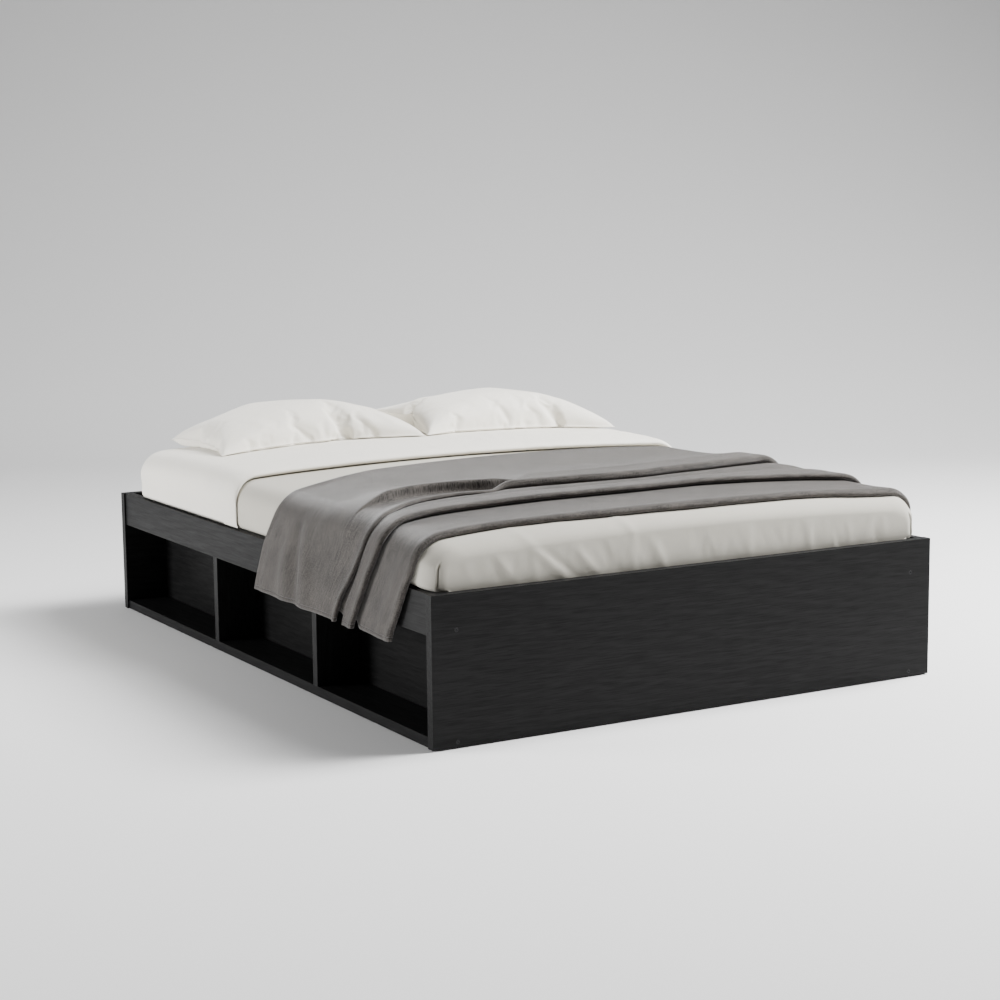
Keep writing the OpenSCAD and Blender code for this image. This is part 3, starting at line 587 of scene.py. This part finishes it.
def make_mattress():
    """Foam mattress: the section carried along the bed, closed at both ends and underneath."""
    x, z, nx, nz, _ = section(right_side(), CORE_STEP, 2)
    x = np.concatenate([x, np.linspace(x[-1], x[0], UNDERSIDE_STEPS + 2)[1:-1]])
    z = np.concatenate([z, np.full(UNDERSIDE_STEPS, z[0])])
    nx, nz = (np.concatenate([n, np.zeros(UNDERSIDE_STEPS)]) for n in (nx, nz))
    y, inset, drop, along = stations(np.linspace(0, 90, 19), 0.03)
    tucked = np.exp(-((turned_from_end(along) - TUCK_TURN) / 7) ** 2) * (along != 0)
    ring = on_bed(x, z, nx, nz, y, inset, drop, along,
                  -TUCK_PRESS * tucked * smoothstep(TUCK_TOP + 0.006 - z, 0, TUCK_FADE))
    caps = np.array([0, 0.25, 0.5, 0.75, 0.92])[:, None, None]

    def cap(row):
        centre = np.array([0, row[0, 1], 0.5 * (row[:, 2].min() + row[:, 2].max())])
        pressed = -END_DISH * np.sign(row[0, 1]) * (1 - caps ** 2)
        return centre + (row - centre) * caps + pressed * [0, 1, 0]

    points = np.concatenate([cap(ring[0]), ring, cap(ring[-1])[::-1]])
    gone = np.arange(points.shape[1] + 1) * CORE_STEP
    far = np.concatenate([[0], np.cumsum(np.abs(np.diff(points.mean(1)[:, 1])) + 0.01)])
    uv = np.stack(np.meshgrid(gone, far), -1)
    piece = surface("mattress_core", points, ticking, uv, wrap_cols=True, merge=True)
    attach(piece, "mattress")
    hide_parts("mattress")


# ---- fitted sheet ----

# At a tuck: how far one layer's edge stands out, the cloth before it is drawn in, the slit goes in.
PROUD_EDGE, DRAWN_IN, SLIT_DEEP = 0.003, 0.001, 0.019

# Slanting folds of the sheet's end face: [across, up, direction, half length, half width, height].
FACE_FOLDS = drawn_creases(
    (-530, 410, -50, 50, 10, 3.5), (-420, 415, -42, 75, 9, 5), (-375, 402, -40, 60, 7, -4),
    (-300, 395, -46, 45, 9, 4), (-250, 420, -60, 60, 12, -2.5), (-100, 400, -62, 50, 12, 3),
    (20, 415, -70, 55, 14, -2.2), (160, 405, -75, 50, 15, 2.5), (360, 410, 80, 55, 16, 2.2),
    (550, 405, 66, 55, 14, 2.6))


def make_fitted_sheet():
    """Fitted sheet: a close skin over the mattress, its corners tucked, drawn down over the ends
    and turned in below, with drag creases from the corners."""
    x, z, nx, nz, s = section(right_side()[1:], 0.0085, 2)
    turns = np.concatenate([np.linspace(0, 18, 6), np.linspace(22, 35, 14),
                            np.linspace(39, 90, 12)])
    y, inset, drop, along = stations(turns, 0.021)
    across, gone = np.broadcast_arrays(s, y)
    off = 0.0014 + 0.0006 * (1 + waves(across, 0.5 * gone, 3, 0.5))
    off = off + np.maximum(0, creases(across, gone, random_creases(
        7, 40, (-0.7, 0.7, FOOT_Y, FOOT_Y + 0.25), 80, 40, 0.09, 0.014, 0.0016)))
    # Where the corner is tucked, one layer's edge stands proud and a slit opens beside it.
    beside = smoothstep(TUCK_TOP - z, 0, TUCK_FADE) * (along != 0)
    past = turned_from_end(along) - TUCK_TURN
    off = off + beside * (PROUD_EDGE * smoothstep(past, 1, 5)
                          - DRAWN_IN * smoothstep(past, -16, -4)
                          - SLIT_DEEP * np.exp(-np.abs(past / 1.9) ** 5))
    ring = on_bed(x, z, nx, nz, y, inset, drop, along, off)
    lowest = along ** 2 * np.exp(-(np.maximum(0, z - LIP_Z) / 0.014) ** 2)
    ring[..., 2] -= 0.0042 * lowest
    ring[..., 0] += 0.006 * np.sign(x) * lowest

    def down(row, count):
        """The end face: each column runs straight down to the hem, pulled into slanting folds."""
        share = np.linspace(1, 0.02, count)[:, None, None]
        hem = row * [0.985, 1, 0] + [0, 0, z[0]]
        face = hem + (row - hem) * share
        fade = np.clip((row[:, 2] - z[0]) / 0.1, 0, 1) ** 2 * np.sin(np.pi * share[..., 0]) ** 0.5
        folds = creases(face[..., 0], face[..., 2], FACE_FOLDS) + creases(
            face[..., 0], face[..., 2], random_creases(13, 110, (-0.66, 0.66, 0.36, 0.47), 98, 22,
                                                       0.035, 0.006, 0.0016))
        face[..., 1] += np.sign(row[0, 1]) * fade * np.clip(folds, -0.0030, 0.006)
        return face

    grid = np.concatenate([down(ring[0], 26)[:0:-1], ring, down(ring[-1], 20)[1:]])
    uv = np.stack(np.meshgrid(s, travelled(grid[:, grid.shape[1] // 2])), -1)
    piece = surface("fitted_sheet_cotton", grid, sheet_cotton, uv)
    thicken(piece, 0.0008, -1)
    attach(piece, "mattress")
    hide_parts("fitted_sheet")


# ---- quilt ----

QUILT_T, QUILT_SIDE_T = 0.030, 0.005    # thick on top, and where it hangs
HEM_MID = HEAD_Y - 0.760                # its front edge in the middle and at the sides
HEM_SIDE = HEM_MID - 0.032

# The quilt's front edge as (distance behind it, share of its thickness): rounded and undercut.
QUILT_FRONT = ((0.032, 0.0), (0.026, 0.0), (0.020, 0.01), (0.014, 0.08), (0.007, 0.17),
               (0.001, 0.24), (-0.0015, 0.35), (0.0, 0.49), (0.005, 0.61), (0.013, 0.70),
               (0.026, 0.77), (0.045, 0.82), (0.070, 0.87), (0.100, 0.92), (0.135, 0.97),
               (0.160, 1.0))


def hem_y(x):
    return HEM_SIDE + (HEM_MID - HEM_SIDE) * (1 - np.minimum(1, np.abs(x) / MAT_OUT) ** 6)


def make_quilt():
    """Quilt: a closed loop of cloth along the bed, lower face up round the front edge and back
    over the top, thick and soft on the bed, thin where it hangs between mattress and rail."""
    side = np.concatenate([[[MAT_OUT, LIP_Z]], right_side()[4:]])
    x, z, nx, nz, s = section(side, 0.009, 3)
    hem = hem_y(x)
    front_f, lift_f = spline(np.array(QUILT_FRONT)[None], 34)[0].T
    y_front = hem + front_f[:, None] * (0.6 + 0.4 * np.maximum(0, nz))
    middle = np.linspace(0, 1, 46)[1:, None]
    y_mid = y_front[-1] + (HEAD_Y - HEAD_ROUND[1] - y_front[-1]) * middle
    turn = np.pi / 2 - np.linspace(0, np.pi / 2, 12)[1:]
    y_head, *ends = round_end(HEAD_Y, HEAD_ROUND, 1, turn)
    y = np.concatenate([y_front, y_mid, np.tile(y_head[:, None], len(x))])
    zero = np.zeros((len(y_front) + len(y_mid), 1))
    inset, drop, along = (np.concatenate([zero, k[:, None]]) for k in ends)
    drop = fall(y) + drop
    lift = np.concatenate([lift_f, np.ones(len(y) - len(lift_f))])[:, None]
    lip = 0.0055 * np.exp(-((y - hem) / 0.05) ** 2)
    thick = QUILT_SIDE_T + lip + (QUILT_T - QUILT_SIDE_T - lip) * np.maximum(0, nz)
    taper = np.sqrt(np.clip(1 - (np.maximum(0, np.abs(s) - s[-1] + 0.02) / 0.02) ** 2, 0, 1))
    across = np.broadcast_to(s, y.shape)
    puff = 0.0022 * waves(across, y, 11, 0.28) + creases(across, y, random_creases(
        5, 90, (-0.8, 0.8, 0.1, 0.9), 65, 50, 0.07, 0.010, 0.0028)) + creases(
        across, y, random_creases(8, 46, (-0.66, 0.66, 0.225, 0.40), 2, 7, 0.10, 0.007, 0.0030))
    laden = smoothstep(y, 0.40, 0.46) * (1 - smoothstep(y, 0.89, 0.93)) * (
        1 - smoothstep(np.abs(across), 0.66, 0.74))
    puff = puff * (1 - laden) - 0.0012 * laden
    height = (thick * lift * (1 - 0.5 * along) + puff * np.minimum(1, thick / 0.02) * lift) * taper
    outer = on_bed(x, z, nx, nz, y, inset, drop, along, ON_SHEET + height)
    count = len(y_front)
    under = np.concatenate([np.linspace(y_front[0], y_front[-1], count), y[count:]])
    inner = on_bed(x, z, nx, nz, under, inset, np.concatenate([fall(under[:count]), drop[count:]]),
                   along, ON_SHEET + 0 * height)

    def down(row, count):
        """The head end: each column runs straight down to just over the rails."""
        share = np.linspace(1, 0.03, count)[1:, None, None]
        foot = row * [0.985, 1, 0] + [0, 0, LIP_Z + 0.0003]
        return foot + (row - foot) * share

    outer = np.concatenate([outer, down(outer[-1], 12)])
    inner = np.concatenate([inner, down(inner[-1], 12)])
    inner[-1] = outer[-1]
    loop = np.concatenate([outer, inner[-2:0:-1]])
    far = travelled(loop[:, loop.shape[1] // 2])
    far = np.append(far, far[-1] + 0.01)
    uv = np.stack(np.meshgrid(s, far), -1)
    piece = surface("quilt_linen", loop, quilt_linen, uv, wrap_rows=True, merge=True)
    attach(piece, "quilt")
    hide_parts("quilt")


# ---- pillows ----

def bed_top(x, y):
    """Height of the quilt's top, where the pillows lie."""
    return crown_z(x) - fall(y) + ON_SHEET + QUILT_T + 0.0003


PILLOW_SIZE = (0.66, 0.455, 0.122)      # as it lies: across, along the bed, high
CASE_SIZE = (0.735, 0.52)               # its panels before they are filled
SEAM_EDGE = 0.004                       # the sewn edge that stands out round it
RIM_SWELL = (0.0008, -0.0004)           # how far the layers of its seam stand up and down
FILLING_FRAMES = 40                     # frames of the simulation that blows it up
FILLING = {"quality": 5, "mass": 0.15, "tension_stiffness": 30, "compression_stiffness": 30,
           "shear_stiffness": 8, "bending_stiffness": 0.1, "use_pressure": True,
           "uniform_pressure_force": 4}

# Creases of the upper panels, on the flat panel: [across, along, direction, half length,
# half width, height].
LEFT_CREASES = drawn_creases(
    (60, -190, -58, 50, 7, 4.5), (82, -186, -60, 45, 6, -2.4), (110, -196, -62, 40, 6, 3.6),
    (145, -190, -56, 48, 7, 4.2), (165, -194, -56, 40, 6, -2), (192, -196, -52, 40, 7, 3.4),
    (230, -192, -50, 40, 8, -2), (255, -188, -46, 40, 8, 3.2), (-200, -150, -70, 80, 16, 3),
    (-290, -30, -35, 70, 12, -3.5), (-270, 60, -30, 80, 14, 3.5), (270, -60, 25, 90, 16, 3))
RIGHT_CREASES = drawn_creases(
    (115, -150, -52, 55, 7, 5), (140, -150, -52, 50, 8, -4), (0, -190, -80, 30, 6, 2.6),
    (30, -190, -78, 30, 6, -2.4), (230, -160, -45, 50, 10, 3.2), (-280, -120, -20, 75, 10, 5),
    (-300, -60, -12, 70, 9, -5), (-270, 50, 10, 80, 14, 4), (-160, -140, -72, 60, 14, -2.5))


def settled(z):
    """Heights pressed softly against what the pillow lies on."""
    return 0.5 * (z + np.sqrt(z * z + 0.004 ** 2))


def on_rim(u, v):
    """Which points of a panel, -1 to 1 both ways, are on its sewn rim."""
    return (np.abs(u) > 0.999) | (np.abs(v) > 0.999)


def widened(k):
    """A panel's grid with one more point all round, for the sewn edge."""
    return np.pad(k, 1, mode="edge")


def make_pillow(name, node, body, at, turn, seed, strokes, ends, mirrored=False):
    """Pillow: two flat panels sewn round the rim and blown up as cloth, then laid down on the
    quilt: the underside pressed flat, the front seam low, the two end seams lifted by that much
    towards the back, a thin sewn edge all round, and creases drawn from the seams."""
    cols, rows = 81, 57
    u, v = np.meshgrid(np.linspace(-1, 1, cols), np.linspace(-1, 1, rows))
    flat_u, flat_v = 0.5 * CASE_SIZE[0] * u, 0.5 * CASE_SIZE[1] * v
    x, y, swell, lean = blown_up(u, v, seed)
    if mirrored:
        x, y, swell, lean = -x[..., ::-1], y[..., ::-1], swell[..., ::-1], lean[..., ::-1]
    swell = swell ** 0.8
    x, y = PILLOW_SIZE[0] * x * (1 - 0.03 * smoothstep(v, -1, 1)), PILLOW_SIZE[1] * y
    raised = np.where(u < 0, ends[0], ends[1]) * np.abs(u) ** 5
    seam = 0.004 + raised * smoothstep(v, -0.9, 0.1) + 0.010 * smoothstep(v, 0, 1)
    seam = seam - 0.004 * (u * v) ** 8 + 0.7 * lean
    marks = np.clip(5 * swell, 0, 1) * creases(flat_u, flat_v, strokes)
    top = settled(seam) + (PILLOW_SIZE[2] - 0.008) * swell * (1 - 0.16 * u * u) + marks
    low = settled(seam - 0.075 * swell)
    c, s = math.cos(turn), math.sin(turn)
    out_u = SEAM_EDGE * np.array([-1, *np.zeros(cols), 1])
    out_v = SEAM_EDGE * np.array([-1, *np.zeros(rows), 1])[:, None]
    panels = []
    for k, z in enumerate((top, low)):
        px, py, pz = widened(x[k]) + out_u, widened(y[k]) + out_v, widened(z)
        pz[1:-1, 1:-1] += on_rim(u, v) * RIM_SWELL[k]
        wx, wy = at[0] + c * px - s * py, at[1] + s * px + c * py
        panels.append(np.stack([wx, wy, bed_top(wx, wy) + pz], -1))
    grid = np.concatenate([panels[0], panels[1][::-1]])
    flat = np.stack([widened(flat_u) + out_u, widened(flat_v) + out_v], -1)
    uv = np.concatenate([flat, (flat * [1, -1] + [0, 1])[::-1]])
    piece = surface(name, grid, pillow_linen, uv, merge=True)
    fine = piece.modifiers.new("smooth", "SUBSURF")
    fine.levels = fine.render_levels = 1
    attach(piece, body)
    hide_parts(node)


def blown_up(u, v, seed):
    """Cloth simulation of the two sewn panels under pressure from inside. Gives x and y of both
    panels as shares of their width and depth, half the pillow's height as a share of its most,
    and how far its middle surface leans up or down."""
    rows, cols = u.shape
    body_share = (1 - u ** 2) * (1 - v ** 2)
    start = 0.004 * body_share * (1 + 0.6 * waves(u, v, seed, 0.6))
    upper = np.stack([0.5 * CASE_SIZE[0] * u, 0.5 * CASE_SIZE[1] * v, start], -1)
    lower = upper * [1, 1, -1]
    index_up = np.arange(rows * cols).reshape(rows, cols)
    index_low = np.where(on_rim(u, v), index_up, index_up + rows * cols)
    corners = face_corners(rows - 1, cols - 1)
    up = np.stack([index_up[k] for k in corners], -1)
    low = np.stack([index_low[corners[k]] for k in (0, 3, 2, 1)], -1)
    points = np.concatenate([upper.reshape(-1, 3), lower.reshape(-1, 3)])
    used = np.unique(np.concatenate([up.reshape(-1), low.reshape(-1)]))
    renumber = np.zeros(len(points), int)
    renumber[used] = np.arange(len(used))
    mesh = bpy.data.meshes.new("pillow_panels")
    mesh.from_pydata(points[used].tolist(), [], renumber[np.concatenate(
        [up.reshape(-1, 4), low.reshape(-1, 4)])].tolist())
    mesh.update()
    case = placed("pillow_panels", mesh)
    cloth = case.modifiers.new("stuffing", "CLOTH")
    for key, value in FILLING.items():
        setattr(cloth.settings, key, value)
    cloth.settings.effector_weights.gravity = 0
    cloth.collision_settings.use_collision = False
    cloth.point_cache.frame_end = FILLING_FRAMES
    for k in range(1, FILLING_FRAMES + 1):
        bpy.context.scene.frame_set(k)
    shape = case.evaluated_get(bpy.context.evaluated_depsgraph_get()).data
    moved = np.empty(len(used) * 3, np.float32)
    shape.vertices.foreach_get("co", moved)
    moved = moved.reshape(-1, 3).astype(float)
    bpy.context.scene.frame_set(1)
    bpy.data.objects.remove(case)
    both = np.stack([moved[renumber[index_up]], moved[renumber[index_low]]])
    x, y, z = both.transpose(3, 0, 1, 2)
    x, y = ((k - 0.5 * (k.max() + k.min())) / (k.max() - k.min()) for k in (x, y))
    half, lean = 0.5 * (z[0] - z[1]), 0.5 * (z[0] + z[1])
    return x, y, half / half.max(), lean


# ---- throw ----

HEM_LEFT, HEM_RIGHT = 0.222, 0.250
# Lines that the throw follows from side to side, as (distance from the bed's middle measured over
# the cloth's path, place along the bed), in millimetres: its head hem, the crest of a soft ridge,
# the fronts of the two folds, and its foot hem.
HEAD_LINE = ((-955, -16), (-909, -39), (-871, -58), (-829, -76), (-775, -110), (-737, -140),
             (-705, -153), (-673, -150), (-579, -91), (-479, -27), (-365, 28), (-199, 52),
             (11, 80), (305, 112), (500, 118), (620, 108), (750, 95), (927, 70))
RIDGE_LINE = ((-955, -420), (-780, -540), (-700, -550), (-620, -515), (-585, -500), (-520, -475),
              (-450, -467), (-396, -474), (-341, -486), (-300, -509), (-177, -512), (-29, -482),
              (179, -480), (403, -437), (550, -385), (650, -345), (750, -330), (927, -320))
FRONT_LINE_1 = ((-955, -526), (-891, -563), (-855, -600), (-835, -622), (-805, -645), (-771, -664),
                (-741, -681), (-709, -687), (-681, -678), (-597, -607), (-521, -567), (-429, -551),
                (-365, -560), (-335, -560), (-300, -541), (-270, -531), (-234, -534), (-168, -539),
                (-90, -550), (-10, -557), (81, -553), (150, -548), (369, -492), (547, -427),
                (645, -388), (750, -375), (927, -360))
FRONT_LINE_2 = ((-949, -625), (-901, -660), (-857, -687), (-823, -708), (-791, -728), (-757, -746),
                (-731, -758), (-705, -763), (-681, -760), (-607, -730), (-547, -717), (-489, -714),
                (-371, -713), (-249, -713), (-99, -721), (11, -721), (217, -704), (399, -708),
                (547, -722), (650, -745), (750, -735), (927, -700))
FOOT_LINE = ((-947, -810), (-907, -839), (-883, -853), (-841, -876), (-809, -894), (-763, -915),
             (-729, -925), (-683, -925), (-603, -915), (-487, -908), (-375, -914), (-237, -925),
             (43, -931), (227, -928), (345, -923), (453, -926), (535, -934), (650, -936),
             (750, -920), (927, -870))


def line_y(points, s):
    """Where a line of the throw runs at distances s, with its corners rounded."""
    fine = np.linspace(-1, 1, 1001)
    place = np.interp(fine, *np.array(points).T / 1000)
    place = softened(place[:, None], 9)[:, 0]
    return np.interp(s, fine, place)


def throw_path():
    """The throw's section from its left hem over the bed to its right hem, inner side: down the
    outside of the rails, over the shoulders and the top. Gives the distance along it from the
    middle, its points and the directions out of it."""
    def hang(hem):
        out = RAIL_OUT + 0.0012
        return [[out + 0.0045, hem], [out + 0.003, (hem + RAIL_TOP) / 2], [out, RAIL_TOP - 0.004],
                [MAT_OUT + ON_SHEET + 0.0035, RAIL_TOP + 0.030]]

    x = np.linspace(-FLAT, FLAT, 61)
    top = np.stack([x, crown_z(x) + ON_SHEET], -1)
    left, right = (np.concatenate([hang(hem), shoulder(SHOULDER_R + ON_SHEET)])
                   for hem in (HEM_LEFT, HEM_RIGHT))
    line = np.concatenate([left * [-1, 1], top, right[::-1]])
    fine, at = evenly(softened(evenly(line, 0.002)[0], 5), 0.002)
    return at - np.interp(0, fine[:, 0], at), fine, outward(fine)


THROW_LOW = 0.0018    # height of the cloth's middle where it lies on the bed


def throw_threads(s):
    """Control points of the threads that run along the bed, at distances s across it: place along
    the bed, height off it and how far the hem is drawn up, head to foot. The cloth swells to a
    soft ridge, dips, rolls over the front of a fold, runs back under it and out again, does so at
    the second fold, and ends in a thick turned hem."""
    head, crest, front_1, front_2, foot = (line_y(k, s) for k in (
        HEAD_LINE, RIDGE_LINE, FRONT_LINE_1, FRONT_LINE_2, FOOT_LINE))
    ridge = smoothstep(s, -0.71, -0.56)           # the ridge fades out at the left shoulder
    steep = 1 - smoothstep(s, -0.29, -0.22)       # its face is steep up to where fold 1 meets it
    apart = 1 - smoothstep(s, -0.31, -0.24)       # fold 1 is a small roll apart from it till then
    meeting = smoothstep(s, -0.36, -0.28)         # and dwindles where they meet
    widening = smoothstep(s, -0.24, -0.12)        # beyond, fold 1 is broad and the ridge far back
    crest = np.maximum(crest, front_1 + 0.065 - 0.047 * meeting + 0.087 * widening)
    side = smoothstep(np.abs(s), 0.68, 0.80)      # 0 on the bed, 1 where the cloth hangs
    wedge = 0.040 * np.clip((-s - 0.77) / 0.18, 0, 1)
    low, points = THROW_LOW, []

    def put(y, h, lift=0.0):
        points.append(np.stack(np.broadcast_arrays(y, h + 0 * y, lift + 0 * y), -1))

    def rolled_front(y, back, heights, lap, lift):
        """The front of a fold at y: heights from its back to its crest and down its face, then
        back under and out again."""
        gaps = (back, np.maximum(0.46 * back, 0.0095), 0.0075, 0.0010, -0.0016, -0.0020, 0.0018)
        for gap, h in zip(gaps, heights):
            put(y + gap, low + h)
        put(y + 0.011, low + 0.0044, 0.2 * lift)
        for share, h, drawn in ((0.5, 0.0034, 0.7), (0.9, 0.0032, 1), (1.05, 0.0016, 1),
                                (0.9, 0.0001, 1), (0.4, 0, 1)):
            put(y + share * lap, low + h, drawn * lift)
        put(y + 0.002, low, 0.9 * lift)
        put(y - 0.004, low + 0.0001, 0.8 * lift)

    for gap, h in ((0.012, 0), (0.002, 0), (-0.0004, 0.0014), (0.002, 0.0030), (0.012, 0.0034),
                   (0.026, 0.0022)):
        put(head - gap, low + h)
    for share, h in ((0.14, 0.0016), (0.28, 0.0022), (0.42, 0.0026), (0.55, 0.0034), (0.67, 0.005),
                     (0.78, 0.0085)):
        fall_in = -0.004 * side * math.exp(-((share - 0.28) / 0.1) ** 2)
        put(head + (crest + 0.03 - head) * share,
            low + h * (0.45 + 0.55 * ridge) + side * 0.006 + fall_in)
    calm = 0.0045 + 0.003 * side
    top = 0.0190 + 0.0085 * steep                 # the ridge's height over the calm cloth
    for gap, under in ((0.030, 0.0060), (0.010, 0.0010), (0, 0)):
        put(crest + gap, low + calm + ridge * (top - under))
    for gap, h in ((0.0045, 0.0235), (0.0055, 0.0130), (0.0070, 0.0020)):
        put(crest - gap, low + calm + ridge * (top + (h - top) * steep))
    back = 0.032 - 0.016 * meeting + 0.030 * widening
    for share, h in ((0.3, -0.0025), (0.62, -0.0015)):
        put(crest - 0.0070 + (front_1 + back + 0.005 - crest + 0.0070) * share,
            low + calm + ridge * (top + (h - top) * steep))
    right = (0.0240, 0.0256, 0.0256, 0.0238, 0.0180, 0.0115, 0.0072)
    left = (0.0075, 0.0130, 0.0142, 0.0134, 0.0110, 0.0085, 0.0066)
    hung = (0.0085, 0.0125, 0.0175, 0.0185, 0.0160, 0.0115, 0.0080)
    dwindled = 1 - 0.45 * meeting
    rolled_front(front_1, back, [r + (a * dwindled - r) * apart + (g - a) * side * apart
                                 for r, a, g in zip(right, left, hung)],
                 0.030, 0.030 * apart * side)
    start = front_1 - 0.006 - wedge
    put(start + 0.5 * wedge, low + 0.0002, 0.020 * side * apart)
    put(start + 0.002, low + 0.0006, 0.010 * side * apart)
    groove = smoothstep(s, -0.35, -0.15)
    for share, h, dip in ((0.05, 0.0055, 0), (0.14, 0.0090, 0), (0.27, 0.0110, 0),
                          (0.42, 0.0110, 0.0005), (0.54, 0.0112, 0.0035), (0.64, 0.0122, 0.0020),
                          (0.76, 0.0140, 0)):
        put(start + (front_2 + 0.050 - start) * share, low + h - dip * groove + 0.003 * side)
    flat = (0.0162, 0.0184, 0.0190, 0.0178, 0.0140, 0.0100, 0.0070)
    hung = (0.0150, 0.0175, 0.0205, 0.0205, 0.0170, 0.0125, 0.0085)
    rolled_front(front_2, 0.046, [a + (g - a) * side for a, g in zip(flat, hung)], 0.030,
                 0.020 * apart * side)
    for share, h in ((0.06, 0.0004), (0.2, 0.0012), (0.38, 0.0025), (0.55, 0.0040), (0.7, 0.0060),
                     (0.83, 0.0085)):
        put(front_2 + (foot + 0.028 - front_2) * share, low + h + 0.004 * side * share)
    for gap, h in ((0.028, 0.0115), (0.014, 0.0140), (0.005, 0.0140), (-0.001, 0.0110),
                   (-0.002, 0.0060), (0.001, 0.0018), (0.006, 0.0001), (0.014, 0.0), (0.032, 0.0)):
        put(foot + gap, low + h)
    return np.stack(points, 1)


def end_round(y):
    """How far the mattress's rounded foot end has turned at y: 0 before it, 1 at its edge."""
    turned = np.arccos(np.clip((FOOT_Y + FOOT_ROUND[1] - y) / FOOT_ROUND[1], 0, 1))
    return 1 - np.sin(turned)


# Soft creases: [across, along, direction, half length, half width, height].
THROW_CREASES = drawn_creases(
    (-560, -100, 30, 110, 12, 9), (-560, -140, 30, 110, 14, -5), (-850, -285, 173, 150, 24, -10),
    (-860, -345, 178, 120, 35, 9), (-880, -215, 170, 100, 30, 7), (-740, -420, 150, 100, 30, 2),
    (-400, -600, 8, 100, 12, 1.5), (300, -560, 12, 160, 10, 1.8))


def make_throw():
    """Throw: threads along the bed are B-splines, threads across follow the bed's section and
    hang at both sides, drawn up a little where the folds run under."""
    at, path, out = throw_path()
    cols, rows = 168, 290
    s = np.interp(np.linspace(0, 1, cols), [0, 0.25, 0.38, 0.64, 0.77, 1],
                  [at[0], -0.64, -0.32, 0.32, 0.64, at[-1]])
    curve = spline(throw_threads(s), rows).transpose(1, 0, 2)     # rows, columns, channels
    y, h, lift = curve[..., 0], curve[..., 1], curve[..., 2]
    ends = np.where(s < 0, -at[0], at[-1])
    share = np.clip((np.abs(s) - 0.75) / (ends - 0.75), 0, 1)
    reach = np.sign(s) * (np.abs(s) - lift * share ** 1.5)
    x, z = (np.interp(reach, at, path[:, k]) for k in (0, 1))
    nx, nz = (np.interp(reach, at, out[:, k]) for k in (0, 1))
    across = np.broadcast_to(s, y.shape)
    loose = smoothstep(h, 0.003, 0.008)
    h = h + loose * (0.0007 * waves(across, y, 21, 0.22) + creases(across, y, THROW_CREASES))
    h = np.maximum(h, THROW_LOW)
    x, z = x + h * nx, z + h * nz
    turn = end_round(y) * rise(z)
    points = np.stack([x - np.clip(x / MAT_HALF, -1, 1) * FOOT_ROUND[0] * turn, y,
                       z - fall(y) * rise(z) - FOOT_ROUND[2] * turn], -1)
    far = travelled(curve[:, cols // 2, :2])
    uv = np.stack(np.meshgrid(s, far), -1)
    piece = surface("throw_wool", points, throw_wool, uv, flip=True)
    thicken(piece, 0.0026, 0)
    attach(piece, "throw")
    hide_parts("throw")


# ---- studio ----

def make_studio():
    """Floor running up into a backdrop through a wide curve."""
    grey = studio_grey("studio_paint_with_painted_shade", (0.92, 0.92, 0.92))
    turn = np.radians(np.linspace(0, 90, 24))
    run = np.concatenate([[-9, -4, 0], 4.0 + 3.0 * np.sin(turn), [7.0]])
    up = np.concatenate([[0, 0, 0], 3.0 * (1 - np.cos(turn)), [9.0]])
    wide = np.linspace(-14, 14, 12)
    c, s = math.cos(CAMERA_YAW), math.sin(CAMERA_YAW)
    run, up = run[:, None], up[:, None]
    points = np.stack(np.broadcast_arrays(wide * c + run * s, run * c - wide * s, up), -1)
    floor = surface("studio_floor", points, grey)


make_studio()
make_mattress()
make_fitted_sheet()
make_quilt()
make_pillow("pillow_left_case", "pillow_left", "pillow_left", (-0.300, 0.664), 0.02, 31,
            LEFT_CREASES, (0.012, 0.014))
make_pillow("pillow_right_case", "pillow_right", "pillow_right", (0.374, 0.668), -0.01, 47,
            RIGHT_CREASES, (0.042, 0.014), mirrored=True)
make_throw()
